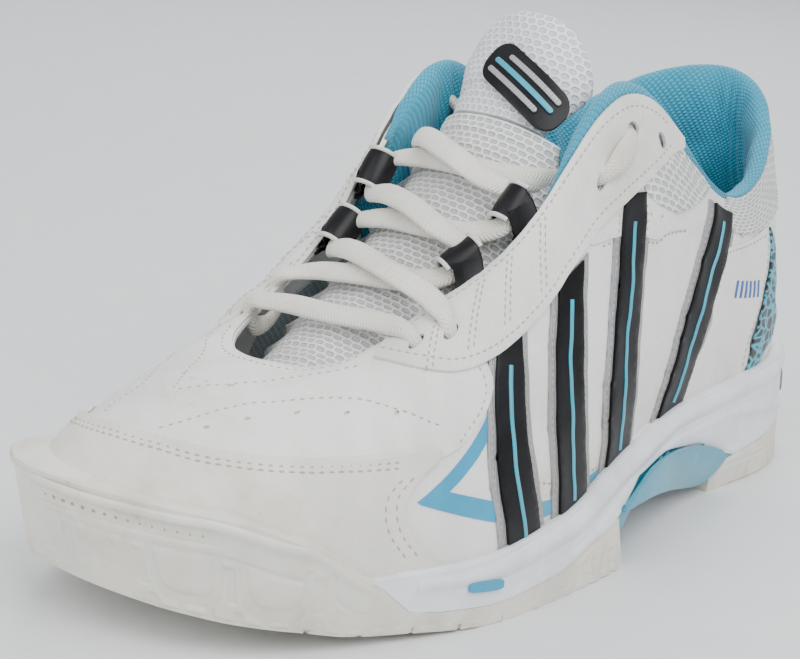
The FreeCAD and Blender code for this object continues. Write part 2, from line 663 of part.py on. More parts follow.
def aglets():
    ends = []
    for end, before in ((LACE_POINTS[0], LACE_POINTS[1]), (LACE_POINTS[-1], LACE_POINTS[-2])):
        start = lace_point(end)
        way = (start - lace_point(before)).normalize()
        ends.append(tube(start, start + way * AGLET_LENGTH, AGLET_R))
    return group(ends)


def group(pieces):
    return Part.makeCompound(list(pieces))


NODES = {
    "outsole_forefoot": outsole_forefoot,
    "outsole_heel": outsole_heel,
    "midsole": midsole,
    "shank_plate": shank_plate,
    "forefoot_gel_pad": lambda: gel_pad("forefoot_gel_pad"),
    "heel_gel_pad": lambda: gel_pad("heel_gel_pad"),
    "heel_inserts": lambda: group([heel_insert(1), heel_insert(-1)]),
    "strobel_board": strobel_board,
    "sockliner_front": lambda: sockliner(SOCKLINER_SPLIT_X * GRADE_X + 0.3, TOE_X),
    "sockliner_heel": lambda: sockliner(HEEL_X, SOCKLINER_SPLIT_X * GRADE_X - 0.3),
    "vamp": lambda: base_panel(-VAMP_END + SEAM, VAMP_END - SEAM),
    "quarter_lateral": lambda: quarter(1, OUTER_EYELETS),
    "quarter_medial": lambda: quarter(-1, INNER_EYELETS),
    "heel_back": lambda: base_panel(HEEL_START + SEAM, 20 - HEEL_START - SEAM, 8),
    "toe_cap": lambda: panel(TOE_CAP_LOWER, TOE_CAP_UPPER, OVERLAY_LOW, OVERLAY_HIGH, 20, 4),
    "toe_puff": lambda: inner_layer(-2, 2, 0.05, 0.42, LAYER_GAP, PUFF_THICK, 10, 6),
    "vamp_lining": lambda: inner_layer(-2.4, 2.4, 0, 0.93, 2 * LAYER_GAP + PUFF_THICK, LINING_THICK, 16, 8),
    "eyestay_lateral": lambda: eyestay(1, OUTER_EYELETS),
    "eyestay_medial": lambda: eyestay(-1, INNER_EYELETS),
    "side_cage_lateral": lambda: cage(1),
    "side_cage_medial": lambda: cage(-1),
    "mesh_window_lateral": lambda: panel(MESH_LOWER, MESH_UPPER, LAYER_GAP, LAYER_GAP + 0.8, 6, 4),
    "mesh_window_medial": lambda: panel(medial(MESH_LOWER), medial(MESH_UPPER), LAYER_GAP,
                                        LAYER_GAP + 0.8, 6, 4),
    "heel_overlay": lambda: panel(straight(8.0, 12.0, OVER_T), straight(8.6, 11.4, 0.6), OVERLAY_LOW,
                                  OVERLAY_HIGH, 14, 6),
    "heel_tab": lambda: panel(straight(8.9, 11.1, 0.66), straight(8.9, 11.1, 0.97), OVERLAY_LOW,
                              OVERLAY_HIGH, 10, 5),
    "heel_counter": lambda: inner_layer(7.9, 12.1, 0, 0.5, LAYER_GAP, COUNTER_THICK, 16, 6),
    "collar_foam": lambda: collar_layer(LAYER_GAP, FOAM_THICK, 0.56),
    "collar_lining": lambda: collar_layer(2 * LAYER_GAP + FOAM_THICK, LINING_THICK, 0.5),
    "tongue_body": tongue_body,
    "tongue_top": tongue_top,
    "tongue_badge": tongue_badge,
    "loop_webbing_lateral": lambda: group(webbing(s) for s in LOOP_STATIONS["lateral"]),
    "loop_webbing_medial": lambda: group(webbing(s) for s in LOOP_STATIONS["medial"]),
    "loop_sleeves_lateral": lambda: group(sleeve(s) for s in LOOP_STATIONS["lateral"]),
    "loop_sleeves_medial": lambda: group(sleeve(s) for s in LOOP_STATIONS["medial"]),
    "shoelace": shoelace,
    "aglets": aglets,
}

os.makedirs("parts", exist_ok=True)
for name, build in NODES.items():
    build().exportStep(f"parts/{name}.step")
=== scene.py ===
# %% [markdown]
# # A laced court shoe, piece by piece
# The shoe is a stack of sheets over one curved form: a foot-shaped form gives every layer its place, so a
# panel is an outline on that form, a height above it and a thickness. Heights, widths and seams come from
# the CAD frame, which this script loads first. Everything is in metres, toe towards +X and up along +Z.

# %% Load the frame
import math
import bmesh
import bpy
import numpy as np
from mathutils import Matrix, Vector
from mathutils.geometry import delaunay_2d_cdt


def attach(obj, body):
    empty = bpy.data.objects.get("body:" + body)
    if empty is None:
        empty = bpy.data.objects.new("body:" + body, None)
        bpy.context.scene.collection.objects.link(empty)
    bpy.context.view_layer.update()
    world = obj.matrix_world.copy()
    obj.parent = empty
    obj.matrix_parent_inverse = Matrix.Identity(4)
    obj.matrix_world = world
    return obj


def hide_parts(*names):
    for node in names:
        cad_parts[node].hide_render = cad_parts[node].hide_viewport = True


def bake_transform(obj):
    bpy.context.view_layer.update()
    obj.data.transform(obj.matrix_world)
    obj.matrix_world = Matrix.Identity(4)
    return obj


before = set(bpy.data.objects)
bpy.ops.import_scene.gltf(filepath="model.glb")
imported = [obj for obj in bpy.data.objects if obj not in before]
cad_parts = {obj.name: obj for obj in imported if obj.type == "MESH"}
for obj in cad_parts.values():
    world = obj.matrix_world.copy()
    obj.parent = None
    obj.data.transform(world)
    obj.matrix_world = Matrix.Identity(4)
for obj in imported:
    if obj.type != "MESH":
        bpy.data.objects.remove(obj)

MM = 0.001
bpy.ops.object.select_all(action="DESELECT")
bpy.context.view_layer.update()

# %% [markdown]
# ## Camera, floor and light
# A long lens from the outer side and a little above shows the whole shoe with its toe to the left. The
# floor is one pale plane, wide enough that no edge shows. Three large soft lamps and a pale
# sky keep the shadows faint, as in a catalogue.

# %% Camera
CAMERA_AT = (0.446528, 0.361463, 0.219716)
CAMERA_AZIMUTH = -2.4281944871814325
CAMERA_DOWN = 0.283640484321837
CAMERA_ROLL = -0.06360066437070554
camera_data = bpy.data.cameras.new("camera")
camera = bpy.data.objects.new("camera", camera_data)
bpy.context.scene.collection.objects.link(camera)
look = Vector((math.cos(CAMERA_DOWN) * math.cos(CAMERA_AZIMUTH),
               math.cos(CAMERA_DOWN) * math.sin(CAMERA_AZIMUTH), -math.sin(CAMERA_DOWN)))
level = look.cross(Vector((0, 0, 1))).normalized()
below = look.cross(level).normalized()
right = level * math.cos(CAMERA_ROLL) + below * math.sin(CAMERA_ROLL)
down = below * math.cos(CAMERA_ROLL) - level * math.sin(CAMERA_ROLL)
camera.matrix_world = Matrix(((right.x, -down.x, -look.x, CAMERA_AT[0]),
                              (right.y, -down.y, -look.y, CAMERA_AT[1]),
                              (right.z, -down.z, -look.z, CAMERA_AT[2]),
                              (0, 0, 0, 1)))
camera_data.lens = 101.62
camera_data.sensor_width = 36
camera_data.clip_end = 20
bpy.context.scene.camera = camera
bpy.context.scene.render.resolution_x = 800
bpy.context.scene.render.resolution_y = 659


# %% Floor and lamps
def soft_lamp(name, place, target, size, watts, colour=(1, 1, 1)):
    """A square area lamp that faces a point."""
    bpy.ops.object.light_add(type="AREA", location=place)
    lamp = bpy.context.object
    lamp.name = name
    lamp.data.size = size
    lamp.data.energy = watts
    lamp.data.color = colour
    lamp.rotation_euler = (Vector(target) - Vector(place)).to_track_quat("-Z", "Y").to_euler()
    return lamp


soft_lamp("key_lamp", (0.25, 0.75, 0.95), (0, 0, 0.05), 0.9, 14.5)
soft_lamp("fill_lamp", (0.95, -0.15, 0.7), (0, 0, 0.05), 0.9, 6.5)
soft_lamp("back_lamp", (-0.7, -0.5, 0.8), (0, 0, 0.05), 0.8, 6.0)

bpy.ops.mesh.primitive_plane_add(size=1, location=(-0.3, -0.3, 0))
floor = bpy.context.object
floor.name = "floor"
floor.scale = (6, 6, 1)
bpy.ops.object.transform_apply(location=True, rotation=True, scale=True)

sky = bpy.data.worlds.new("sky")
bpy.context.scene.world = sky
sky.use_nodes = True
sky.node_tree.nodes["Background"].inputs["Color"].default_value = (0.80, 0.83, 0.86, 1)
sky.node_tree.nodes["Background"].inputs["Strength"].default_value = 0.78
print("camera and three lamps")

# %% [markdown]
# ## The form
# A last is the foot-shaped form that a shoe is pulled over. Here it is four closed curves, one above the
# other, with a cubic blend between them: the feather edge in the sole, the swell above it, the instep and
# the throat and collar. A place on it is a station, 0 at the toe, 10 at the heel, counted round the outer
# side and back along the inner one, and a height t from 0 in the sole to 1 at the collar. The numbers are
# those of the frame, so what lies on the form lies on the frame's panels too.

# %% Curves of the form
WALL_TOP_Z = 40.0
WALL_LOW = [(121, -17), (118, 9), (105, 28), (82, 40), (49, 51), (15, 52), (-13, 48), (-51, 34),
            (-85, 32), (-116, 26), (-134, -2), (-116, -29), (-85, -35), (-51, -34), (-17, -38),
            (17, -45), (49, -52), (80, -52), (103, -45), (118, -34)]
WALL_HIGH = [(135, -14), (130, 10), (113, 33.5), (84, 49), (49, 51), (19, 48), (-19, 41), (-51, 37.5),
             (-85, 34), (-118, 23.5), (-135, -2), (-118, -27), (-85, -37), (-51, -38.5), (-17, -40),
             (17, -46), (49, -51), (80, -52), (112, -45), (127, -33)]
LOW_ROW = [(131, -13, 44), (126, 12, 44), (109.5, 32, 41), (81, 44, 37), (49, 49, 37), (17, 47, 42),
           (-17, 41, 50), (-51, 36, 54), (-85, 32, 54), (-116, 22, 54), (-133, -2, 56), (-116, -26, 54),
           (-85, -36, 54), (-51, -38, 54), (-17, -39, 50), (17, -44, 42), (49, -48, 36), (80, -47, 33),
           (108, -41.5, 36), (124, -31, 40)]
HIGH_ROW = [(107, -10, 55), (104, 6, 56), (90, 21, 57), (71, 30, 59), (45, 33, 65), (13, 34, 79),
            (-19, 35, 92), (-53, 33, 80), (-87, 29, 72), (-113, 20, 76), (-127, -2, 84), (-113, -24, 76),
            (-87, -33, 72), (-53, -36, 80), (-19, -38, 92), (13, -38, 80), (45, -39, 64), (71, -38, 53),
            (91, -32, 50), (102, -22, 52)]
TOP_ROW = [(69, -8, 56), (66, 6, 57), (56, 14, 61), (39, 18, 69), (22, 25, 81), (6, 27, 98),
           (-17, 28, 120), (-43, 29, 108), (-73, 27, 86), (-103, 20, 92), (-124, -2, 109), (-103, -24, 107),
           (-73, -31, 99), (-43, -33, 107), (-19, -34, 117), (5, -30, 102), (21, -29, 82), (39, -29, 67),
           (55, -28, 59), (66, -20, 56)]
RIM_LINE = [(-140, 34), (-115, 33), (-85, 33), (-51, 32), (-17, 28), (17, 20), (49, 17), (80, 18.5),
            (107, 22), (140, 27)]
GROUND_LINE = [(-140, 8), (-128, 3), (-112, 0), (-85, 0), (49, 0), (82, 3), (105, 8), (122, 12),
               (140, 20)]
RUBBER_LINE = [(-12, 13), (6, 11), (24, 6.5), (45, 5), (70, 7), (84, 18), (100, 30), (116, 37),
               (140, 42)]
HEEL_RUBBER_LINE = [(-140, 21), (-120, 13), (-95, 10), (-68, 8)]
ARCH_LINE = [(-76, 2.5), (-66, 3.5), (-54, 6), (-40, 10), (-24, 13.5), (-12, 12), (-4, 6)]
SHANK_LINE = [(-84, 9), (-74, 12), (-60, 17.5), (-40, 21), (-22, 19.5), (-4, 12)]
FEATHER_INSET = 3.6        # from the sole's wall to the upper


def prefilter(points):
    """Control points of the closed cubic curve that passes through the points."""
    control = points = np.array(points, float)
    for _ in range(30):
        control = (points * 6 - np.roll(control, 1, 0) - np.roll(control, -1, 0)) * 0.25
    return control


def round_curve(control, station):
    station = np.asarray(station, float)
    whole = np.floor(station).astype(int)
    f = (station - whole)[..., None]
    weights = ((1 - f) ** 3, 3 * f ** 3 - 6 * f ** 2 + 4, -3 * f ** 3 + 3 * f ** 2 + 3 * f + 1, f ** 3)
    return sum(control[(whole + k - 1) % len(control)] * weight / 6 for k, weight in enumerate(weights))


def along(points, x):
    """Height of a side profile at x, with smooth steps between its points."""
    x = np.asarray(x, float)
    px, pz = np.array(points, float).T
    k = np.clip(np.searchsorted(px, x) - 1, 0, len(px) - 2)
    f = np.clip((x - px[k]) / (px[k + 1] - px[k]), 0, 1)
    return pz[k] + (pz[k + 1] - pz[k]) * ((3 - 2 * f) * f * f + f) * 0.5


LOW_WALL, HIGH_WALL = prefilter(WALL_LOW), prefilter(WALL_HIGH)


def wall(station, z, out=0.0):
    """Points on the sole's wall, out from it by some millimetres."""
    def at(s):
        share = (np.asarray(z, float) / WALL_TOP_Z)[..., None]
        return round_curve(LOW_WALL, s) * (1 - share) + round_curve(HIGH_WALL, s) * share
    station = np.asarray(station, float)
    side = at(station + 0.02) - at(station - 0.02)
    outwards = np.stack((side[..., 1], -side[..., 0]), -1)
    outwards /= np.linalg.norm(outwards, axis=-1, keepdims=True)
    flat = at(station) + outwards * np.asarray(out, float)[..., None]
    return np.concatenate((flat, (np.asarray(z, float) + flat[..., 0] * 0)[..., None]), -1)


def feather_row():
    x = np.array([p[0] for p in WALL_HIGH], float)
    return wall(np.arange(len(x)), along(RIM_LINE, x) - 1, -FEATHER_INSET)


ROWS = [prefilter(row) for row in (feather_row(), LOW_ROW, HIGH_ROW, TOP_ROW)]


def form(station, t):
    """The upper's outer surface, in millimetres."""
    t = np.asarray(t, float)[..., None]
    a, b, c, d = (round_curve(row, station) for row in ROWS)
    return a * (1 - t) ** 3 + b * (3 * (1 - t) ** 2 * t) + c * (3 * (1 - t) * t * t) + d * t ** 3


def form_normal(station, t):
    round_way = form(station + 0.02, t) - form(station - 0.02, t)
    up_way = form(station, t + 0.01) - form(station, t - 0.01)
    normal = np.cross(round_way, up_way)
    return normal / np.linalg.norm(normal, axis=-1, keepdims=True)


def crumple(station, t):
    """Small hollows and flex creases that every layer of the worn upper shares."""
    place = form(station, t)
    x, y, z = place[..., 0], place[..., 1], place[..., 2]
    waves = (np.sin(x * 0.21 + y * 0.13) * np.sin(z * 0.23 - y * 0.09 + 1.3)
             + 0.6 * np.sin(x * 0.47 - z * 0.39) * np.sin(y * 0.43 + z * 0.31 + 0.7))
    around = (np.asarray(station, float) + 10) % 20 - 10
    flex = np.exp(-((np.abs(around) - 2.7) / 1.1) ** 2) * np.exp(-((np.asarray(t, float) - 0.6) / 0.25) ** 2)
    creases = np.sin(x * 0.62 + z * 0.25) * flex
    edge = np.clip((np.asarray(t, float) - 0.02) / 0.1, 0, 1)
    return (0.22 * waves + 0.28 * creases) * edge


def skin(station, t, height=0.0):
    """Points above the form, in millimetres."""
    station, t = np.asarray(station, float), np.asarray(t, float)
    rise = np.asarray(height, float) + crumple(station, t)
    return form(station, t) + form_normal(station, t) * rise[..., None]


print("form from", ROWS[0].min(0).round(1), "to", ROWS[3].max(0).round(1))

# %% [markdown]
# ## From an outline to a panel
# A shoemaker cuts a flat sheet, stitches it down and its cut edge stays visible. Bending a flat grid with
# modifiers would lose the exact seams, so the outline is triangulated in station and height and each point
# is then lifted onto the form. The Solidify and Bevel modifiers give the sheet its thickness and its
# softened cut edge. The map of the sheet, in millimetres, is kept for weaves and grains.


# %% Panels cut from an outline
def tidy(name, ob, material, body="shoe"):
    """Names a finished piece, paints it and lets it ride on its body."""
    ob.name = name
    ob.data.name = name
    ob.data.materials.clear()
    ob.data.materials.append(material)
    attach(ob, body)
    return ob


def modify(ob, kind, **values):
    """Adds a modifier and applies it."""
    bpy.ops.object.select_all(action="DESELECT")
    bpy.context.view_layer.objects.active = ob
    ob.select_set(True)
    modifier = ob.modifiers.new(kind.lower(), kind)
    for key, value in values.items():
        setattr(modifier, key, value)
    bpy.ops.object.modifier_apply(modifier=modifier.name)


def smooth(ob, degrees=35):
    bpy.ops.object.select_all(action="DESELECT")
    bpy.context.view_layer.objects.active = ob
    ob.select_set(True)
    bpy.ops.object.shade_smooth_by_angle(angle=math.radians(degrees))


def mesh_object(name, points, faces, uv=None):
    """A mesh from points in millimetres, with a map in millimetres."""
    mesh = bpy.data.meshes.new(name)
    mesh.from_pydata([tuple(p) for p in np.asarray(points) * MM], [], faces)
    if uv is not None:
        layer = mesh.uv_layers.new(name="sheet")
        index = np.zeros(len(mesh.loops), int)
        mesh.loops.foreach_get("vertex_index", index)
        layer.data.foreach_set("uv", np.asarray(uv, float)[index].ravel())
    mesh.validate()
    ob = bpy.data.objects.new(name, mesh)
    bpy.context.scene.collection.objects.link(ob)
    return ob


def dense(outline, step, closed=True):
    """The outline with points added so that none are further apart than a step, measured on the form."""
    points = list(outline) + ([outline[0]] if closed else [])
    made = []
    for (s0, t0), (s1, t1) in zip(points, points[1:]):
        length = np.linalg.norm(form(s1, t1) - form(s0, t0))
        count = max(1, int(math.ceil(length / step)))
        made += [(s0 + (s1 - s0) * k / count, t0 + (t1 - t0) * k / count) for k in range(count)]
    return made if closed else made + [points[-1]]


def curved(outline, closed=True, per=6):
    """A smooth line through the points; a point given twice is a sharp corner."""
    points = list(outline)
    count = len(points)
    made = []
    for k in range(count if closed else count - 1):
        p = [np.array(points[(k + d) % count] if closed else points[min(max(k + d, 0), count - 1)], float)
             for d in (-1, 0, 1, 2)]
        if np.allclose(p[1], p[2]):
            continue
        for f in np.arange(per) / per:
            made.append(tuple(0.5 * (2 * p[1] + (p[2] - p[0]) * f
                                     + (2 * p[0] - 5 * p[1] + 4 * p[2] - p[3]) * f * f
                                     + (3 * p[1] - p[0] - 3 * p[2] + p[3]) * f ** 3)))
    return made if closed else made + [tuple(points[-1])]


def inside(points, polygon):
    """Which points lie in a polygon."""
    x, y = np.asarray(points, float).T
    px, py = np.asarray(polygon, float).T
    hit = np.zeros(len(x), bool)
    for k in range(len(px)):
        x0, y0, x1, y1 = px[k - 1], py[k - 1], px[k], py[k]
        crosses = ((y0 > y) != (y1 > y)) & (x < (x1 - x0) * (y - y0) / (y1 - y0 + 1e-12) + x0)
        hit ^= crosses
    return hit


def hole(station, t, radius, sides=10, stretch=1.0, turn=0.0):
    """A round or oval hole of that radius in millimetres, as an outline on the form."""
    along_s = np.linalg.norm(form(station + 0.05, t) - form(station - 0.05, t)) / 0.1
    along_t = np.linalg.norm(form(station, t + 0.02) - form(station, t - 0.02)) / 0.04
    ring = []
    for k in range(sides):
        a = 2 * math.pi * k / sides
        u, v = radius * stretch * math.cos(a), radius * math.sin(a)
        ring.append((station + (u * math.cos(turn) - v * math.sin(turn)) / along_s,
                     t + (u * math.sin(turn) + v * math.cos(turn)) / along_t))
    return ring


STATION_MM, RISE_MM = 27.0, 75.0     # rough size of one station and of the whole height, for the maps


def panel(name, outline, material, low, thick, holes=(), step=1.8, edge=0.25, relief=None, body="shoe",
          place=skin):
    """A sheet on the form, from an outline of (station, t), its lower face at a height."""
    rings = [dense(outline, step)] + [list(h) for h in holes]
    aspect = STATION_MM / RISE_MM
    border, edges = [], []
    for ring in rings:
        start = len(border)
        border += ring
        edges += [(start + k, start + (k + 1) % len(ring)) for k in range(len(ring))]
    s0, t0 = np.min(rings[0], 0)
    s1, t1 = np.max(rings[0], 0)
    columns = np.arange(s0, s1, step / STATION_MM)
    levels = np.arange(t0, t1, step / RISE_MM)
    grid = np.array([(s + (j % 2) * step / STATION_MM / 2, t) for j,
                     t in enumerate(levels) for s in columns])
    grid = grid[inside(grid, rings[0])]
    for ring in rings[1:]:
        grid = grid[~inside(grid, ring)]
    walls = np.array(border)
    keep = [np.min(np.hypot((walls[:, 0] - s) * STATION_MM, (walls[:, 1] - t) * RISE_MM)) > step * 0.45
            for s, t in grid]
    flat = border + [tuple(p) for p, k in zip(grid, keep) if k]
    points = [Vector((s * aspect, t)) for s, t in flat]
    verts, _, faces = delaunay_2d_cdt(points, edges, [], 1, 1e-7, False)[:3]
    st = np.array([(p.x / aspect, p.y) for p in verts])
    centres = np.array([st[list(f)].mean(0) for f in faces])
    good = inside(centres, rings[0])
    for ring in rings[1:]:
        good &= ~inside(centres, ring)
    faces = [tuple(f) for f, g in zip(faces, good) if g]
    height = low + thick + (relief(st[:, 0], st[:, 1]) if relief else 0)
    ob = mesh_object(name, place(st[:, 0], st[:, 1], height), faces, st * (STATION_MM, RISE_MM))
    modify(ob, "SOLIDIFY", thickness=thick * MM, offset=-1, use_even_offset=False)
    if edge:
        modify(ob, "BEVEL", width=edge * MM, segments=2, limit_method="ANGLE", angle_limit=math.radians(50))
    smooth(ob)
    tidy(name, ob, material, body)
    return ob


def mirrored(outline):
    """The same outline on the inner side of the shoe."""
    return [(-s, t) for s, t in reversed(list(outline))]


print("panel tools ready")

# %% [markdown]
# ## Finishes
# Every surface of a worn shoe is a plain material with three things on it: a weave or grain in height, whose
# gaps most materials fill with painted shade, grime that gathers in patches and near the sole, and a small
# random change of tone. The weaves and the grime are node groups, built once, that put out masks and
# heights; the shader stays in each material. The weaves read the sheet's own map, in millimetres, so the
# threads follow each panel.


# %% Node groups
def new_group(name, inputs, outputs):
    group = bpy.data.node_groups.new(name, "ShaderNodeTree")
    for title, kind, value in inputs:
        socket = group.interface.new_socket(title, in_out="INPUT", socket_type=kind)
        if value is not None:
            socket.default_value = value
    for title in outputs:
        group.interface.new_socket(title, in_out="OUTPUT", socket_type="NodeSocketFloat")
    return group, group.nodes.new("NodeGroupInput"), group.nodes.new("NodeGroupOutput")


def math_node(tree, operation, a, b=None, c=None, clamp=False):
    """A math node on sockets or numbers; returns its output."""
    node = tree.nodes.new("ShaderNodeMath")
    node.operation = operation
    node.use_clamp = clamp
    for socket, value in zip(node.inputs, (a, b, c)):
        if isinstance(value, (int, float)):
            socket.default_value = value
        elif value is not None:
            tree.links.new(value, socket)
    return node.outputs[0]


def split(tree, vector):
    node = tree.nodes.new("ShaderNodeSeparateXYZ")
    tree.links.new(vector, node.inputs[0])
    return node.outputs


def ramp(tree, value, low, high):
    """0 below low, 1 above high, smooth between."""
    node = tree.nodes.new("ShaderNodeMapRange")
    node.interpolation_type = "SMOOTHSTEP"
    tree.links.new(value, node.inputs["Value"])
    node.inputs["From Min"].default_value = low
    node.inputs["From Max"].default_value = high
    return node.outputs[0]


def noise(tree, vector, scale, detail=3.0, rough=0.55):
    node = tree.nodes.new("ShaderNodeTexNoise")
    node.inputs["Scale"].default_value = scale
    node.inputs["Detail"].default_value = detail
    node.inputs["Roughness"].default_value = rough
    tree.links.new(vector, node.inputs["Vector"])
    return node.outputs["Fac"]


def ridge(tree, value, period):
    """A rounded wave from 0 to 1 with that period."""
    turned = math_node(tree, "MULTIPLY", value, 2 * math.pi / period)
    return math_node(tree, "MULTIPLY_ADD", math_node(tree, "SINE", turned), 0.5, 0.5)


def build_grime():
    """Patchy dirt: more near the sole, in blotches and in fine specks."""
    group, source, target = new_group("grime",
                                      [("Place", "NodeSocketVector", None), ("Low", "NodeSocketFloat", 0.02),
                                                ("High", "NodeSocketFloat", 0.06)],
                                      ["Blotch", "Near sole", "Specks"])
    place = source.outputs["Place"]
    wide = ramp(group, noise(group, place, 34, 5, 0.6), 0.50, 0.70)
    fine = ramp(group, noise(group, place, 420, 2, 0.6), 0.60, 0.72)
    z = split(group, place)[2]
    fall = group.nodes.new("ShaderNodeMapRange")
    group.links.new(z, fall.inputs["Value"])
    group.links.new(source.outputs["Low"], fall.inputs["From Min"])
    group.links.new(source.outputs["High"], fall.inputs["From Max"])
    fall.inputs["To Min"].default_value = 1.0
    fall.inputs["To Max"].default_value = 0.0
    low = math_node(group, "MULTIPLY", fall.outputs[0], math_node(group, "MULTIPLY_ADD", wide, 0.6, 0.4))
    for title, value in (("Blotch", wide), ("Near sole", low),
                         ("Specks", math_node(group, "MULTIPLY", fine, wide))):
        group.links.new(value, target.inputs[title])
    return group


def build_weave(name, build):
    """A weave: takes a map in millimetres and puts out its height and a mask of its gaps and holes, which
    most materials fill with painted shade and the marble film with printed veins.
    """
    group, source, target = new_group(name, [("Map", "NodeSocketVector", None)], ["Height", "Gaps"])
    height, gap_mask = build(group, source.outputs["Map"])
    group.links.new(height, target.inputs["Height"])
    group.links.new(gap_mask, target.inputs["Gaps"])
    return group


def twill(tree, place):
    x, y, _ = split(tree, place)
    line = ridge(tree, math_node(tree, "ADD", x, y), 1.15)
    cross = ridge(tree, math_node(tree, "SUBTRACT", x, y), 0.55)
    height = math_node(tree, "MULTIPLY_ADD", cross, 0.2, line)
    return height, ramp(tree, line, 0.35, 0.0)


def ribs(tree, place):
    x, y, _ = split(tree, place)
    wobble = math_node(tree, "MULTIPLY", noise(tree, place, 0.5, 2), 0.8)
    line = ridge(tree, math_node(tree, "ADD", x, wobble), 0.8)
    return line, ramp(tree, line, 0.3, 0.0)


def cells(tree, place, width, rise, bar):
    """Rounded openings in offset rows, as in an open mesh."""
    x, y, _ = split(tree, place)
    row = math_node(tree, "FLOOR", math_node(tree, "DIVIDE", y, rise))
    shift = math_node(tree, "MULTIPLY", math_node(tree, "MODULO", row, 2.0), 0.5)
    u = math_node(tree, "FRACT", math_node(tree, "ADD", math_node(tree, "DIVIDE", x, width), shift))
    v = math_node(tree, "FRACT", math_node(tree, "DIVIDE", y, rise))
    du = math_node(tree, "MULTIPLY", math_node(tree, "ABSOLUTE", math_node(tree, "SUBTRACT", u, 0.5)), width)
    dv = math_node(tree, "MULTIPLY", math_node(tree, "ABSOLUTE", math_node(tree, "SUBTRACT", v, 0.5)), rise)
    qu = math_node(tree, "MAXIMUM", math_node(tree, "SUBTRACT", du, (width - rise) / 2), 0.0)
    reach = math_node(tree, "SQRT", math_node(tree, "ADD", math_node(tree, "MULTIPLY", qu, qu),
                                              math_node(tree, "MULTIPLY", dv, dv)))
    gap_mask = ramp(tree, reach, rise / 2 - bar * 0.35, rise / 2 - bar)
    return math_node(tree, "SUBTRACT", 1.0, gap_mask), gap_mask


def knit(tree, place):
    x, y, _ = split(tree, place)
    columns = ridge(tree, math_node(tree, "MULTIPLY_ADD", y, 0.5, x), 1.5)
    loops = ridge(tree, math_node(tree, "MULTIPLY_ADD", x, -0.5, y), 1.1)
    both_ways = math_node(tree, "MULTIPLY", columns, loops)
    height = math_node(tree, "MULTIPLY_ADD", noise(tree, place, 2.2, 3), 0.4, both_ways)
    return height, ramp(tree, both_ways, 0.22, 0.0)


def braid(tree, place):
    """Flat plaited yarns in a herringbone, across a lace or a tape."""
    x, y, _ = split(tree, place)
    arm = math_node(tree, "PINGPONG", y, 1.0)
    line = ridge(tree, math_node(tree, "MULTIPLY_ADD", arm, 1.1, x), 0.95)
    groove = ramp(tree, math_node(tree, "ABSOLUTE", math_node(tree, "SUBTRACT", arm, 0.5)), 0.5, 0.38)
    return math_node(tree, "MULTIPLY", line, groove), ramp(tree, line, 0.3, 0.0)


def grain(tree, place):
    node = tree.nodes.new("ShaderNodeTexVoronoi")
    node.feature = "DISTANCE_TO_EDGE"
    node.inputs["Scale"].default_value = 1.1
    tree.links.new(place, node.inputs["Vector"])
    pebble = ramp(tree, node.outputs["Distance"], 0.0, 0.25)
    return math_node(tree, "MULTIPLY_ADD", noise(tree, place, 0.45, 4), 1.5, pebble), pebble


def skin_of_rubber(tree, place):
    pits = noise(tree, place, 1.4, 6, 0.7)
    return pits, ramp(tree, pits, 0.4, 0.2)


def veins(tree, place):
    """Dark cracked fields divided by bright veins, as in a printed marble film."""
    node = tree.nodes.new("ShaderNodeTexVoronoi")
    node.feature = "DISTANCE_TO_EDGE"
    node.inputs["Scale"].default_value = 0.30
    warped = tree.nodes.new("ShaderNodeVectorMath")
    warped.operation = "ADD"
    tree.links.new(place, warped.inputs[0])
    tree.links.new(noise(tree, place, 0.35, 3), warped.inputs[1])
    tree.links.new(warped.outputs[0], node.inputs["Vector"])
    vein = ramp(tree, node.outputs["Distance"], 0.16, 0.05)
    return noise(tree, place, 1.4, 3), vein


GRIME = build_grime()
WEAVES = {
    "twill": build_weave("twill", twill), "ribs": build_weave("ribs", ribs),
    "mesh": build_weave("mesh", lambda t, p: cells(t, p, 3.1, 1.7, 0.55)),
    "honeycomb": build_weave("honeycomb", lambda t, p: cells(t, p, 2.3, 1.9, 0.5)),
    "fine_mesh": build_weave("fine_mesh", lambda t, p: cells(t, p, 1.5, 0.95, 0.3)),
    "knit": build_weave("knit", knit), "braid": build_weave("braid", braid),
    "grain": build_weave("grain", grain), "veins": build_weave("veins", veins),
    "rubber": build_weave("rubber", skin_of_rubber),
}
print(len(WEAVES), "weaves")


# %% Materials
def mix_colour(tree, mask, below_colour, above_colour, share=1.0):
    """Mixes a colour over a socket or a colour by a mask; returns the colour."""
    node = tree.nodes.new("ShaderNodeMix")
    node.data_type = "RGBA"
    tree.links.new(math_node(tree, "MULTIPLY", mask, share, clamp=True), node.inputs[0])
    for socket, value in ((node.inputs[6], below_colour), (node.inputs[7], above_colour)):
        if isinstance(value, tuple):
            socket.default_value = (*value, 1)
        else:
            tree.links.new(value, socket)
    return node.outputs[2]


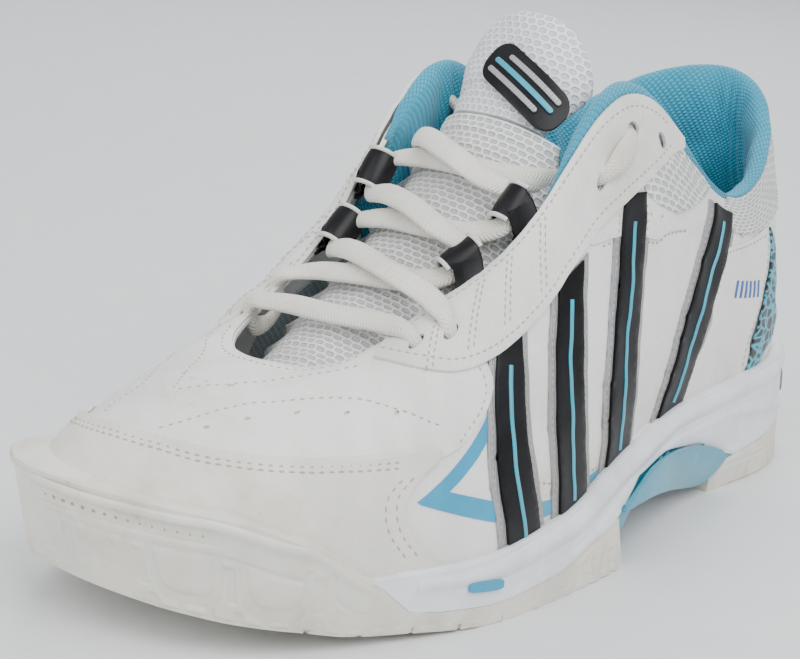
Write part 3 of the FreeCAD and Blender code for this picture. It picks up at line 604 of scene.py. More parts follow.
def finish(name, colour, rough, weave, relief=0.1, gap_shade_and_vein_colour=None, dirt=0.35,
           dirt_colour=(0.36, 0.30, 0.20),
           low_dirt=0.5, low=0.02, high=0.06, mapped=True, coat=0.0, sheen=0.0, metallic=0.0, shade=None,
           rough_spread=0.15, subsurface=0.0):
    """A surface with a weave in height, painted shade in the weave's gaps (printed veins in the marble
    film), colour that varies a little at random, and grime.
    """
    material = bpy.data.materials.new(name)
    material.use_nodes = True
    tree = material.node_tree
    shader = tree.nodes["Principled BSDF"]
    texture = tree.nodes.new("ShaderNodeTexCoord")
    place = texture.outputs["Object"]
    sheet = tree.nodes.new("ShaderNodeVectorMath")
    sheet.operation = "SCALE"
    tree.links.new(texture.outputs["UV" if mapped else "Object"], sheet.inputs[0])
    sheet.inputs["Scale"].default_value = 1.0 if mapped else 1000.0
    made = tree.nodes.new("ShaderNodeGroup")
    made.node_tree = WEAVES[weave]
    tree.links.new(sheet.outputs[0], made.inputs["Map"])
    dirty = tree.nodes.new("ShaderNodeGroup")
    dirty.node_tree = GRIME
    tree.links.new(place, dirty.inputs["Place"])
    dirty.inputs["Low"].default_value = low
    dirty.inputs["High"].default_value = high
    shaded = noise(tree, place, 60, 4)
    second = shade or tuple(c * 0.86 for c in colour)
    result = mix_colour(tree, ramp(tree, shaded, 0.35, 0.7), colour, second)
    # Painted shade: the weave's gaps and holes take a darker colour; the marble film uses the same colour to
    # print its veins.
    if gap_shade_and_vein_colour:
        result = mix_colour(tree, made.outputs["Gaps"], result, gap_shade_and_vein_colour)
    if dirt:
        result = mix_colour(tree, dirty.outputs["Blotch"], result, dirt_colour, dirt * 0.5)
        result = mix_colour(tree, dirty.outputs["Specks"], result, dirt_colour, dirt)
        result = mix_colour(tree, dirty.outputs["Near sole"], result, dirt_colour, low_dirt * dirt)
    tree.links.new(result, shader.inputs["Base Color"])
    roughness = math_node(tree, "MULTIPLY_ADD", noise(tree, place, 160, 3), rough_spread,
                          rough - rough_spread / 2,
                          clamp=True)
    tree.links.new(roughness, shader.inputs["Roughness"])
    bump = tree.nodes.new("ShaderNodeBump")
    bump.inputs["Strength"].default_value = 1.0
    bump.inputs["Distance"].default_value = relief * MM
    tree.links.new(made.outputs["Height"], bump.inputs["Height"])
    tree.links.new(bump.outputs[0], shader.inputs["Normal"])
    shader.inputs["Coat Weight"].default_value = coat
    shader.inputs["Coat Roughness"].default_value = 0.12
    shader.inputs["Sheen Weight"].default_value = sheen
    shader.inputs["Metallic"].default_value = metallic
    shader.inputs["Subsurface Weight"].default_value = subsurface
    shader.inputs["Subsurface Scale"].default_value = 0.003
    return material


# The sixth value of a finish, where given, is painted shade for the weave's gaps and holes; in the marble
# film it is the printed vein colour.
WHITE_LEATHER = finish("white_leather", (0.87, 0.865, 0.84), 0.40, "grain", 0.045, dirt=0.26, coat=0.08,
                       shade=(0.82, 0.81, 0.78))
TOE_TWILL = finish("toe_twill", (0.84, 0.82, 0.76), 0.58, "twill", 0.05, (0.74, 0.71, 0.63), dirt=0.42,
                   dirt_colour=(0.42, 0.36, 0.26), high=0.065, low=0.03)
STAY_RIBS = finish("stay_ribs", (0.86, 0.85, 0.82), 0.50, "ribs", 0.06, (0.74, 0.73, 0.70), dirt=0.3,
                   low=0.04, high=0.08)
OPEN_MESH = finish("open_mesh", (0.86, 0.86, 0.85), 0.72, "mesh", 0.40, (0.50, 0.51, 0.52), dirt=0.25,
                   low=0.03, high=0.09)
FINE_MESH = finish("fine_mesh", (0.80, 0.80, 0.80), 0.70, "fine_mesh", 0.16, (0.50, 0.51, 0.53), dirt=0.35)
HONEYCOMB = finish("honeycomb", (0.88, 0.885, 0.90), 0.75, "honeycomb", 0.34, (0.60, 0.62, 0.66), dirt=0.12,
                   low=0.1, high=0.12, sheen=0.1)
BLACK_GLOSS = finish("black_gloss", (0.004, 0.004, 0.005), 0.36, "rubber", 0.012, dirt=0.04, coat=0.0,
                     shade=(0.012, 0.012, 0.014), dirt_colour=(0.10, 0.09, 0.08), rough_spread=0.08)
BLACK_GLOSS.node_tree.nodes["Principled BSDF"].inputs["Specular IOR Level"].default_value = 0.22
SILVER_TAPE = finish("silver_tape", (0.40, 0.40, 0.41), 0.38, "ribs", 0.06, (0.28, 0.28, 0.29), dirt=0.25,
                     metallic=0.25)
TEAL_PIPING = finish("teal_piping", (0.04, 0.36, 0.50), 0.35, "rubber", 0.03, dirt=0.15, coat=0.2)
TEAL_FILM = finish("teal_film", (0.03, 0.33, 0.55), 0.45, "grain", 0.02, dirt=0.12)
TEAL_KNIT = finish("teal_knit", (0.03, 0.42, 0.60), 0.85, "knit", 0.30, (0.015, 0.22, 0.36), dirt=0.12,
                   sheen=0.25, low=0.05, high=0.06, dirt_colour=(0.35, 0.42, 0.42))
GREY_LINING = finish("grey_lining", (0.45, 0.50, 0.52), 0.9, "fine_mesh", 0.15, (0.25, 0.28, 0.30), dirt=0.2)
FOOTBED_KNIT = finish("footbed_knit", (0.09, 0.26, 0.33), 0.9, "knit", 0.25, (0.05, 0.15, 0.20), dirt=0.35)
LACE_YARN = finish("lace_yarn", (0.88, 0.86, 0.79), 0.82, "braid", 0.16, (0.72, 0.69, 0.60), dirt=0.35,
                   sheen=0.15, low=0.02, high=0.03)
THREAD = finish("thread", (0.50, 0.46, 0.38), 0.7, "braid", 0.05, dirt=0.5)
BEIGE_THREAD = finish("beige_thread", (0.52, 0.44, 0.30), 0.75, "braid", 0.08, dirt=0.5)
RUBBER = finish("rubber", (0.80, 0.775, 0.70), 0.46, "rubber", 0.05, dirt=0.55, mapped=False, low=0.0,
                high=0.035,
                dirt_colour=(0.33, 0.27, 0.18), low_dirt=0.7, subsurface=0.05)
FOAM = finish("foam", (0.86, 0.88, 0.92), 0.55, "rubber", 0.03, dirt=0.22, mapped=False, low=0.0, high=0.03,
              dirt_colour=(0.42, 0.38, 0.30), subsurface=0.08)
TEAL_PLASTIC = finish("teal_plastic", (0.02, 0.24, 0.36), 0.25, "rubber", 0.02, dirt=0.25, mapped=False,
                      coat=0.3,
                      shade=(0.03, 0.32, 0.44), dirt_colour=(0.30, 0.30, 0.25))
GREY_RUBBER = finish("grey_rubber", (0.16, 0.17, 0.17), 0.55, "rubber", 0.04, dirt=0.4, mapped=False)
BOARD = finish("board", (0.62, 0.60, 0.54), 0.85, "rubber", 0.1, dirt=0.3, mapped=False)
GEL = finish("gel", (0.40, 0.60, 0.70), 0.25, "rubber", 0.02, dirt=0.1, mapped=False, subsurface=0.3)
BLUE_FILM = finish("blue_film", (0.05, 0.12, 0.42), 0.45, "grain", 0.02, dirt=0.35)
MARBLE = finish("marble_film", (0.015, 0.018, 0.022), 0.35, "veins", 0.02, (0.06, 0.38, 0.50), dirt=0.05)
CLEAR_FILM = finish("clear_film", (0.70, 0.70, 0.66), 0.2, "rubber", 0.02, dirt=0.3, mapped=False, coat=0.6)
floor.data.materials.append(finish("floor_paper", (0.78, 0.79, 0.80), 0.55, "rubber", 0.02, dirt=0.0,
                                   mapped=False,
                                   shade=(0.76, 0.77, 0.78)))
print(len(bpy.data.materials), "finishes")

# %% [markdown]
# ## The sole
# The tread, the midsole and the arch bridge keep their CAD solids, which are exact, and get a rubber, foam
# or tinted finish. Their walls carry moulded detail that is too fine for the solids: a bead along the top
# of the rubber, a stitched slot round the toe, grooves near the ground. Each wall is a fine grid on the
# sole's outline, pushed in and out by a short formula and given a back by Solidify.

# %% CAD solids that stay
CAD_FINISH = {"outsole_forefoot": RUBBER, "outsole_heel": RUBBER, "midsole": FOAM,
              "shank_plate": TEAL_PLASTIC,
              "forefoot_gel_pad": GEL, "heel_gel_pad": GEL, "heel_inserts": GREY_RUBBER,
              "strobel_board": BOARD,
              "toe_puff": BOARD, "heel_counter": BOARD}
for node, material in CAD_FINISH.items():
    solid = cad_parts[node]
    solid.data.materials.clear()
    solid.data.materials.append(material)
print(len(CAD_FINISH), "CAD solids repainted")


# %% Walls of the sole
def bell(value, centre, width):
    return np.exp(-((value - centre) / width) ** 2)


def step_up(value, low, high):
    f = np.clip((value - low) / (high - low), 0, 1)
    return f * f * (3 - 2 * f)


def side_x(station):
    return wall(station, np.full(np.shape(station), 20.0))[..., 0]


def wall_sheet(name, s0, s1, bottom, top, relief, material, thick=1.6, step=0.7, rows=60, body="shoe"):
    """A moulded wall between two heights, which are functions of x.
    relief(arc, z, x, share) pushes it out."""
    fine = np.linspace(s0, s1, 4000)
    path = wall(fine, np.full(4000, 15.0))
    arc = np.concatenate(([0], np.cumsum(np.linalg.norm(np.diff(path, axis=0), axis=1))))
    columns = int(arc[-1] / step)
    even = np.linspace(0, arc[-1], columns)
    station = np.interp(even, arc, fine)[:, None] + np.zeros((1, rows))
    arcs = even[:, None] + np.zeros((1, rows))
    share = np.linspace(0, 1, rows)[None, :] + np.zeros((columns, 1))
    x = side_x(station)
    z = bottom(x) + (top(x) - bottom(x)) * share
    points = wall(station, z, relief(arcs, z, x, share))
    faces = [(i * rows + j, (i + 1) * rows + j, (i + 1) * rows + j + 1, i * rows + j + 1)
             for i in range(columns - 1) for j in range(rows - 1)]
    ob = mesh_object(name, points.reshape(-1, 3), faces, np.stack((arcs, z), -1).reshape(-1, 2))
    modify(ob, "SOLIDIFY", thickness=thick * MM, offset=-1)
    smooth(ob, 60)
    return tidy(name, ob, material, body)


def ground(x):
    return along(GROUND_LINE, x)


def rubber_top(x):
    return along(RUBBER_LINE, x)


def rim(x):
    return along(RIM_LINE, x)


SLOT_DROP, SLOT_HALF = 4.4, 2.0      # the stitched slot, below the top edge
LOBE_PITCH, LOBE_HIGH, LOBE_LOW = 20.0, 17.0, 3.6


def slot_ends(station):
    """1 over the length of the stitched slot, 0 beyond its ends."""
    return step_up(station, -0.42, -0.24) * (1 - step_up(station, 1.62, 1.80))


def forefoot_relief(arc, z, x, share):
    """Rounded lobes cut by grooves, a short slot for the thread and a row of tread notches at the ground."""
    top = rubber_top(x)
    front = step_up(x, 74, 92)
    station = np.interp(arc, ARC_TABLE, STATION_TABLE)
    out = 0.3 + 0.0 * z
    out += 0.7 * bell(z, top - 1.4, 1.5) * front
    out -= 1.7 * slot_ends(station) * (1 - step_up(np.abs(z - top + SLOT_DROP), SLOT_HALF - 0.6,
                                                   SLOT_HALF + 0.3))
    out -= 0.35 * bell(z, top - 9.2, 0.7) * front
    tall = np.clip(z - ground(x), 0, None)
    across = (arc % LOBE_PITCH) - LOBE_PITCH / 2
    lobe = ((np.abs(across) / 7.4) ** 4 + (np.clip(LOBE_HIGH - tall, 0, None)
                                           / (LOBE_HIGH - LOBE_LOW)) ** 4) ** 0.25
    out -= 1.15 * bell(lobe * 7.4, 7.4, 0.8) * front * (1 - step_up(tall, LOBE_HIGH - 2.0, LOBE_HIGH))
    joint = (1 - step_up(LOBE_PITCH / 2 - np.abs(across), 0.5, 1.3)) * step_up(tall, 5.0, 6.0)
    out -= 1.1 * joint * (1 - step_up(tall, 14.0, 15.0)) * front
    notch = bell((arc % 6.6) - 3.3, 0.0, 0.8)
    out -= 1.0 * notch * (1 - step_up(tall, 2.6, 3.4))
    flute = 0.5 - 0.5 * np.cos(arc * 2 * math.pi / 4.6)
    out -= 0.6 * flute * (1 - front) * step_up(tall, 1.6, 2.6) * (1 - step_up(tall, 5.5, 7.0))
    out -= 0.45 * bell(z, top - 1.0, 0.5) * (1 - front)
    return out - 0.6 * step_up(share, 0.985, 1.0) - 0.7 * (1 - step_up(share, 0.0, 0.02))


EDGE_X = -8.4
front_s = 5.72
STATION_TABLE = np.linspace(-front_s, front_s, 4000)
table_path = wall(STATION_TABLE, np.full(4000, 15.0))
ARC_TABLE = np.concatenate(([0], np.cumsum(np.linalg.norm(np.diff(table_path, axis=0), axis=1))))
forefoot_wall = wall_sheet("forefoot_wall", -front_s, front_s, lambda x: ground(x) + 0.2,
                           lambda x: rubber_top(x) + 0.15, forefoot_relief, RUBBER, step=0.55, rows=56)


def toe_shoulder():
    """The guard rolls over from its wall on to the toe cap and closes against the leather."""
    station = np.linspace(-3.55, 3.55, 330)
    x = side_x(station)
    edge = rubber_top(x)
    reach = np.linspace(0.0, 0.6, 121)
    rise = skin(station[:, None] + 0 * reach, reach + 0 * station[:, None], 1.9)
    goal = np.array([np.interp(e + 0.7, row, reach) for e, row in zip(edge, rise[..., 2])])
    start = wall(station, edge - 0.9, np.full(station.shape, 0.25))
    end = skin(station, goal, 1.2)
    over = wall(station, edge + 0.9, np.full(station.shape, 0.1))
    back = (end + over) / 2 + np.array([0, 0, 0.9])
    f = np.linspace(0, 1, 14)[None, :, None]
    parts = [start, over, back, end]
    share = [(1 - f) ** 3, 3 * (1 - f) ** 2 * f, 3 * (1 - f) * f * f, f ** 3]
    points = sum(part[:, None, :] * weight for part, weight in zip(parts, share))
    faces = [(i * 14 + j, (i + 1) * 14 + j, (i + 1) * 14 + j + 1, i * 14 + j + 1)
             for i in range(329) for j in range(13)]
    return points.reshape(-1, 3), faces


shoulder_points, shoulder_faces = toe_shoulder()
shoulder = mesh_object("toe_shoulder", shoulder_points, shoulder_faces)
modify(shoulder, "SOLIDIFY", thickness=1.0 * MM, offset=-1)
smooth(shoulder, 60)
tidy("toe_shoulder", shoulder, RUBBER)


def heel_relief(arc, z, x, share):
    tall = z - ground(x)
    flute = 0.5 - 0.5 * np.cos(arc * 2 * math.pi / 5.2)
    out = 0.3 - 0.7 * flute * step_up(tall, 0.8, 1.6) * (1 - step_up(tall, 4.4, 5.4)) - 0.4 * bell(tall,
        6.3, 0.5)
    return out - 0.7 * step_up(share, 0.96, 1.0) - 0.7 * (1 - step_up(share, 0.0, 0.04))


heel_s = 7.68
heel_wall = wall_sheet("heel_wall", heel_s, 20 - heel_s, lambda x: ground(x) + 0.2,
                       lambda x: along(HEEL_RUBBER_LINE, x), heel_relief, RUBBER, step=0.6, rows=30)


# %% Midsole wall with its rim
def midsole_bottom(x):
    front = step_up(x, EDGE_X - 1.0, EDGE_X + 1.0)
    heel = 1 - step_up(x, -73.0, -71.0)
    arch = np.maximum(along(ARCH_LINE, x), along(SHANK_LINE, x))
    arch = np.where(x < -88, 0, arch)
    arch = np.where(x > -4, 0, arch)
    return np.maximum.reduce([rubber_top(x) * front, along(HEEL_RUBBER_LINE, x) * heel, arch]) + 0.1


def midsole_relief(arc, z, x, share):
    """Flared lip under the rim, a swept groove beside it and small ribs behind the arch."""
    out = 0.35 + 0.9 * bell(z, rim(x) - 3.0, 2.2)
    out -= 0.9 * bell(z, rim(x) - 7.5, 1.3) * step_up(x, -118, -100) * (1 - step_up(x, 50, 66))
    lug = bell(x, -70, 9) * bell(z, 25, 3.5)
    out += 0.5 * lug * (0.5 + 0.5 * np.cos(arc * 2 * math.pi / 2.2))
    out += 0.7 * bell(z, 16 + (x + 120) * 0.18, 1.4) * (1 - step_up(x, -90, -74))
    return out - 0.9 * step_up(share, 0.96, 1.0) - 0.5 * (1 - step_up(share, 0.0, 0.04))


def rim_ring(s0, s1):
    """The flat top of the rim, from the wall in to the upper."""
    station = np.linspace(s0, s1, 420)
    rings = []
    for out, lift in ((0.3, -1.0), (0.25, -0.4), (-0.2, 0.05), (-1.0, 0.35), (-2.4, 0.3), (-3.3, -0.4),
                      (-4.4, -2.2)):
        x = side_x(station)
        rings.append(wall(station, rim(x) + lift, np.full(station.shape, out)))
    rows = len(rings)
    points = np.stack(rings, 1).reshape(-1, 3)
    faces = [(i * rows + j, ((i + 1) % 420) * rows + j, ((i + 1) % 420) * rows + j + 1, i * rows + j + 1)
             for i in range(419) for j in range(rows - 1)]
    return points, faces


midsole_wall = wall_sheet("midsole_wall", 3.35, 16.65, midsole_bottom, lambda x: rim(x) - 0.1,
                          midsole_relief, FOAM,
                          step=0.8, rows=44)
ring_points, ring_faces = rim_ring(3.2, 16.8)
midsole_rim = mesh_object("midsole_rim", ring_points, ring_faces)
modify(midsole_rim, "SOLIDIFY", thickness=0.8 * MM, offset=-1)
smooth(midsole_rim, 60)
tidy("midsole_rim", midsole_rim, FOAM)
print("sole walls", [len(o.data.polygons) for o in (forefoot_wall, heel_wall, midsole_wall)])


# %% [markdown]
# ### Stitches and piping
# A stitch is a short raised bar of thread, about 2 mm long, pressed into the sheet at both ends. One bar is
# modelled as a cylinder with few sides, its ends pulled in, and copied along each seam line, so that a
# whole seam is one piece. Piping is a thin tube along the same sort of line.

# %% Stitches and piping
def line_on(place, points, height, step):
    """Evenly spaced points and normals along a line of (station, t)."""
    fine = np.array(points, float)
    path = place(fine[:, 0], fine[:, 1], np.full(len(fine), height))
    arc = np.concatenate(([0], np.cumsum(np.linalg.norm(np.diff(path, axis=0), axis=1))))
    count = max(2, int(arc[-1] / step))
    even = (np.arange(count) + 0.5) / count * arc[-1]
    st = np.stack([np.interp(even, arc, fine[:, k]) for k in (0, 1)], -1)
    where = place(st[:, 0], st[:, 1], np.full(count, height))
    lifted = place(st[:, 0], st[:, 1], np.full(count, height + 0.5))
    normal = lifted - where
    normal /= np.linalg.norm(normal, axis=1, keepdims=True)
    way = np.stack([np.interp(even + 0.3, arc, path[:, k]) - np.interp(even - 0.3, arc, path[:, k])
                    for k in range(3)], -1)
    way /= np.linalg.norm(way, axis=1, keepdims=True)
    return where, way, normal


def stitch_shape(length, radius):
    """One stitch along X: a bar of thread with pinched ends that dip into the sheet."""
    bpy.ops.object.select_all(action="DESELECT")
    bpy.ops.mesh.primitive_cylinder_add(vertices=6, radius=radius, depth=length, end_fill_type="TRIFAN",
                                        rotation=(0, math.pi / 2, 0))
    ob = bpy.context.object
    bpy.ops.object.transform_apply(location=True, rotation=True, scale=True)
    bpy.ops.object.mode_set(mode="EDIT")
    bpy.ops.mesh.select_all(action="SELECT")
    bpy.ops.mesh.bisect(plane_co=(0, 0, 0), plane_no=(1, 0, 0))
    bpy.ops.object.mode_set(mode="OBJECT")
    co = np.array([v.co for v in ob.data.vertices])
    end = np.abs(co[:, 0]) / (length / 2)
    co[:, 1:] *= (1 - 0.35 * end ** 2)[:, None]
    co[:, 2] -= radius * 1.1 * end ** 2
    faces = [tuple(p.vertices) for p in ob.data.polygons]
    bpy.data.objects.remove(ob)
    return co, faces


def copies(name, shape, places, ways, normals, material, body="shoe"):
    """Copies of one small shape, turned along a line and joined in one piece."""
    co, faces = shape
    points, all_faces, maps = [], [], []
    for k, (p, w, n) in enumerate(zip(places, ways, normals)):
        across = np.cross(n, w)
        across /= np.linalg.norm(across)
        up = np.cross(w, across)
        start = k * len(co)
        points.append(p + co[:, :1] * w + co[:, 1:2] * across + co[:, 2:3] * up)
        maps.append(co[:, :2] * 2.0)
        all_faces += [tuple(start + v for v in f) for f in faces]
    ob = mesh_object(name, np.concatenate(points), all_faces, np.concatenate(maps))
    bpy.ops.object.select_all(action="DESELECT")
    bpy.context.view_layer.objects.active = ob
    ob.select_set(True)
    bpy.ops.object.shade_smooth()
    return tidy(name, ob, material, body)


def seam(name, lines, height, material=None, pitch=2.4, length=1.9, radius=0.28, place=skin, body="shoe"):
    """Rows of stitches along several lines, as one piece."""
    found = [line_on(place, curved(line, False, 8), height, pitch) for line in lines]
    places, ways, normals = (np.concatenate([f[k] for f in found]) for k in range(3))
    return copies(name, stitch_shape(length, radius), places, ways, normals, material or THREAD, body)


def tube_along(name, path, normals, width, height, material, body="shoe", sides=12, closed=False, caps=True):
    """A tube with an oval section along points in millimetres; width lies across the normal."""
    path, normals = np.asarray(path, float), np.asarray(normals, float)
    count = len(path)
    if closed:
        ways = np.roll(path, -1, 0) - np.roll(path, 1, 0)
    else:
        ways = np.gradient(path, axis=0)
    ways /= np.linalg.norm(ways, axis=1, keepdims=True)
    across = np.cross(normals, ways)
    across /= np.linalg.norm(across, axis=1, keepdims=True)
    up = np.cross(ways, across)
    width, height = np.broadcast_to(width, count), np.broadcast_to(height, count)
    angle = np.arange(sides) * 2 * math.pi / sides
    ring = (path[:, None] + across[:, None] * (np.cos(angle)[None, :, None] * width[:, None, None] / 2)
            + up[:, None] * (np.sin(angle)[None, :, None] * height[:, None, None] / 2))
    arc = np.concatenate(([0], np.cumsum(np.linalg.norm(np.diff(path, axis=0), axis=1))))
    uv = np.stack((arc[:, None] + np.zeros((1, sides)),
                   (np.cos(angle) * 0.5 + 0.5)[None] * 4 + np.zeros((count, 1))), -1)
    loops = count if closed else count - 1
    faces = [(i * sides + j, ((i + 1) % count) * sides + j, ((i + 1) % count) * sides + (j + 1) % sides,
              i * sides + (j + 1) % sides) for i in range(loops) for j in range(sides)]
    points, maps = ring.reshape(-1, 3), uv.reshape(-1, 2)
    if caps and not closed:
        faces += [tuple(reversed(range(sides))), tuple((count - 1) * sides + j for j in range(sides))]
    faces = [tuple(reversed(f)) for f in faces]
    ob = mesh_object(name, points, faces, maps)
    bpy.ops.object.select_all(action="DESELECT")
    bpy.context.view_layer.objects.active = ob
    ob.select_set(True)
    bpy.ops.object.mode_set(mode="EDIT")
    bpy.ops.mesh.select_all(action="SELECT")
    bpy.ops.mesh.normals_make_consistent(inside=False)
    bpy.ops.object.mode_set(mode="OBJECT")
    smooth(ob, 60)
    return tidy(name, ob, material, body)


def piping(name, line, height, width, material, rise=None, place=skin, closed=False, body="shoe", step=0.8):
    where, way, normal = line_on(place, curved(line, closed, 8) if not closed else
                                 curved(line, True, 8) + [tuple(line[0])], height, step)
    return tube_along(name, where, normal, width, rise or width, material, body, closed=False)


print("stitch tools ready")

# %% [markdown]
# ### Rope stitching round the toe, and the sole's small inlays
# The toe guard is sewn to the upper with one thick waxed thread that lies in the slot. Its stitches are
# longer and rounder than a seam's, and they slant like a rope.

# %% Toe stitching and inlays
rope_s = np.linspace(-0.26, 1.64, 900)
rope_x = side_x(rope_s)
rope_z = rubber_top(rope_x) - SLOT_DROP
rope_path = wall(rope_s, rope_z, np.full(rope_s.shape, -0.45))
rope_arc = np.concatenate(([0], np.cumsum(np.linalg.norm(np.diff(rope_path, axis=0), axis=1))))
rope_at = np.arange(1.0, rope_arc[-1], 2.9)
rope_place = np.stack([np.interp(rope_at, rope_arc, rope_path[:, k]) for k in range(3)], -1)
rope_way = np.stack([np.interp(rope_at + 0.5, rope_arc, rope_path[:, k]) -
                     np.interp(rope_at - 0.5, rope_arc, rope_path[:, k]) for k in range(3)], -1)
rope_way /= np.linalg.norm(rope_way, axis=1, keepdims=True)
rope_way[:, 2] += 0.30
rope_way /= np.linalg.norm(rope_way, axis=1, keepdims=True)
out_path = wall(rope_s, rope_z, np.full(rope_s.shape, 1.0)) - wall(rope_s, rope_z, np.zeros(rope_s.shape))
rope_out = np.stack([np.interp(rope_at, rope_arc, out_path[:, k]) for k in range(3)], -1)
rope_out /= np.linalg.norm(rope_out, axis=1, keepdims=True)
toe_rope = copies("toe_rope", stitch_shape(3.0, 0.62), rope_place, rope_way, rope_out, BEIGE_THREAD)


def sole_patch(name, outline, side, out, thick, material, bulge=0.0, step=1.2, body="shoe"):
    """A moulded inlay on the sole's wall, from an outline of (x, z) seen from the side."""
    stations = np.linspace(0.5, 9.8, 1500) * side
    wall_x = side_x(stations)
    order = np.argsort(wall_x)
    middle = np.mean(outline, 0)
    size = np.max(np.abs(np.array(outline) - middle), 0)

    def place(x, z, height):
        s = np.interp(x, wall_x[order], stations[order])
        for _ in range(3):
            s = s + (np.interp(x, wall_x[order], stations[order]) -
                     np.interp(wall(s, z)[..., 0], wall_x[order], stations[order]))
        round_off = 1 - np.clip(((x - middle[0]) / size[0]) ** 2 + ((z - middle[1]) / size[1]) ** 2, 0, 1)
        return wall(s, z, height + bulge * round_off)

    ring = [tuple(p) for p in outline]
    fine = []
    for (x0, z0), (x1, z1) in zip(ring, ring[1:] + ring[:1]):
        count = max(1, int(math.hypot(x1 - x0, z1 - z0) / step))
        fine += [(x0 + (x1 - x0) * k / count, z0 + (z1 - z0) * k / count) for k in range(count)]
    low, high = np.min(fine, 0), np.max(fine, 0)
    grid = np.array([(x, z) for x in np.arange(low[0], high[0], step) for z in np.arange(low[1], high[1],
        step)])
    grid = grid[inside(grid, fine)]
    border = np.array(fine)
    grid = [tuple(p) for p in grid if np.min(np.hypot(*(border - p).T)) > step * 0.5]
    verts, _, faces = delaunay_2d_cdt([Vector(p) for p in fine + grid],
                                      [(k, (k + 1) % len(fine)) for k in range(len(fine))], [], 1, 1e-7,
                                      False)[:3]
    flat = np.array([tuple(v) for v in verts])
    faces = [tuple(f) for f in faces if inside([flat[list(f)].mean(0)], fine)[0]]
    if side > 0:
        faces = [tuple(reversed(f)) for f in faces]
    ob = mesh_object(name, place(flat[:, 0], flat[:, 1], np.full(len(flat), out + thick)), faces, flat)
    modify(ob, "SOLIDIFY", thickness=thick * MM, offset=-1)
    modify(ob, "BEVEL", width=0.3 * MM, segments=2, limit_method="ANGLE", angle_limit=math.radians(50))
    smooth(ob)
    return tidy(name, ob, material, body)


ARCH_WINDOW = [(-77, 9.5), (-73, 13.5), (-64, 16.8), (-52, 19.5), (-38, 21), (-24, 19.8), (-8, 14.8),
               (-16, 14.2),
               (-28, 13), (-42, 9.8), (-56, 6), (-68, 4.6)]
for side, word in ((1, "lateral"), (-1, "medial")):
    sole_patch(f"arch_window_{word}", curved(ARCH_WINDOW, True, 3), side, 0.3, 1.2, TEAL_PLASTIC, bulge=1.2)
    leaf = [(-133, 28.5), (-127, 28.5), (-119, 21), (-124, 17.5), (-131, 20)]
    inlay = sole_patch(f"heel_leaf_{word}", curved(leaf, True, 4), side, 0.1, 1.0, GREY_RUBBER, bulge=0.4)
    pill = [(45.5, 10.6), (46.6, 9.4), (55.4, 10.4), (56.5, 11.6), (55.4, 12.8), (46.6, 11.8)]
    sole_patch(f"midsole_pill_{word}", curved(pill, True, 4), side, 0.9, 0.5, TEAL_FILM, step=0.8)
print("sole detail done")

# %% [markdown]
# ## The upper's leather
# The vamp is one smooth sheet from the toe back to the quarters, its flex area punched with small holes. A
# twill toe cap lies over its front, and the quarters carry everything else. Each is a panel on the form:
# the base sheets butt, and the overlays are stitched down a layer higher.

# %% Base sheets
def box_outline(s0, s1, t0, t1):
    return [(s0, t0), (s1, t0), (s1, t1), (s0, t1)]


EYELETS = {1: [(3.10, 0.84), (3.56, 0.81), (5.62, 0.82), (6.08, 0.89), (6.54, 0.88)],
           -1: [(-2.60, 0.93), (-3.10, 0.93), (-5.62, 0.82), (-6.08, 0.89), (-6.54, 0.88)]}
EYELET_R = 2.3


def eyelet_holes(side, radius=EYELET_R, first=0, last=5):
    return [hole(s, t, radius, 16) for s, t in EYELETS[side][first:last]]


vamp = panel("vamp_base", box_outline(-2.45, 2.45, -0.02, 0.985), WHITE_LEATHER, -1.3, 1.3, step=2.4)
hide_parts("vamp", "vamp_lining")
for side, word in ((1, "lateral"), (-1, "medial")):
    outline = box_outline(2.45, 9.28, -0.02, 0.985)
    if side < 0:
        outline = mirrored(outline)
    quarter = panel(f"quarter_{word}_base", outline, WHITE_LEATHER, -1.3, 1.3, eyelet_holes(side), step=2.2)
    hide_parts(f"quarter_{word}")
heel_mesh = panel("heel_back_mesh", box_outline(9.27, 10.73, -0.02, 0.985), FINE_MESH, -1.3, 1.3, step=2.2)
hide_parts("heel_back")


# %% Vamp overlay and toe cap
VAMP_BACK = [(2.45, 0.97), (2.8, 0.83), (3.3, 0.74), (3.92, 0.69), (4.16, 0.55), (3.84, 0.43), (3.45, 0.40)]
vamp_outline = ([(3.45, 0.40), (2.7, 0.42), (1.8, 0.43), (0.9, 0.44), (0, 0.45), (-0.9, 0.44), (-1.8, 0.43),
                 (-2.7, 0.42), (-3.45, 0.40)]
                + [(-s, t) for s, t in reversed(curved(VAMP_BACK, False, 4)[:-1])]
                + [(-2.4, 0.975), (-1.2, 0.98), (0, 0.98), (1.2, 0.98), (2.4, 0.975)]
                + curved(VAMP_BACK, False, 4)[1:-1])
PUNCHED = [(1.04, 0.58), (1.38, 0.64), (1.88, 0.67), (2.48, 0.645), (3.06, 0.60), (0.16, 0.80), (0.58, 0.81)]
punched = [hole(side * s, t, 0.75, 8) for s, t in PUNCHED for side in (1, -1)]
vamp_overlay = panel("vamp_overlay", vamp_outline, WHITE_LEATHER, 0.08, 0.8, punched, step=2.0, edge=0.2)

TOE_SIDE = [(3.48, 0.45), (3.54, 0.43), (3.54, 0.40), (3.38, 0.37), (3.24, 0.30), (3.28, 0.19), (3.46, 0.08),
            (3.60, 0.005)]
toe_top = [(0, 0.495), (0.76, 0.49), (1.32, 0.475), (2.12, 0.47), (2.62, 0.47), (3.14, 0.46)]
toe_outline = ([(0, 0.015), (1.8, 0.01), (3.60, 0.005)][:-1] + list(reversed(curved(TOE_SIDE, False, 4)))
               + list(reversed(curved(toe_top, False, 4)))
               + [(-s, t) for s, t in curved(toe_top, False, 4)[1:]]
               + [(-s, t) for s, t in curved(TOE_SIDE, False, 4)] + [(-1.8, 0.01)])


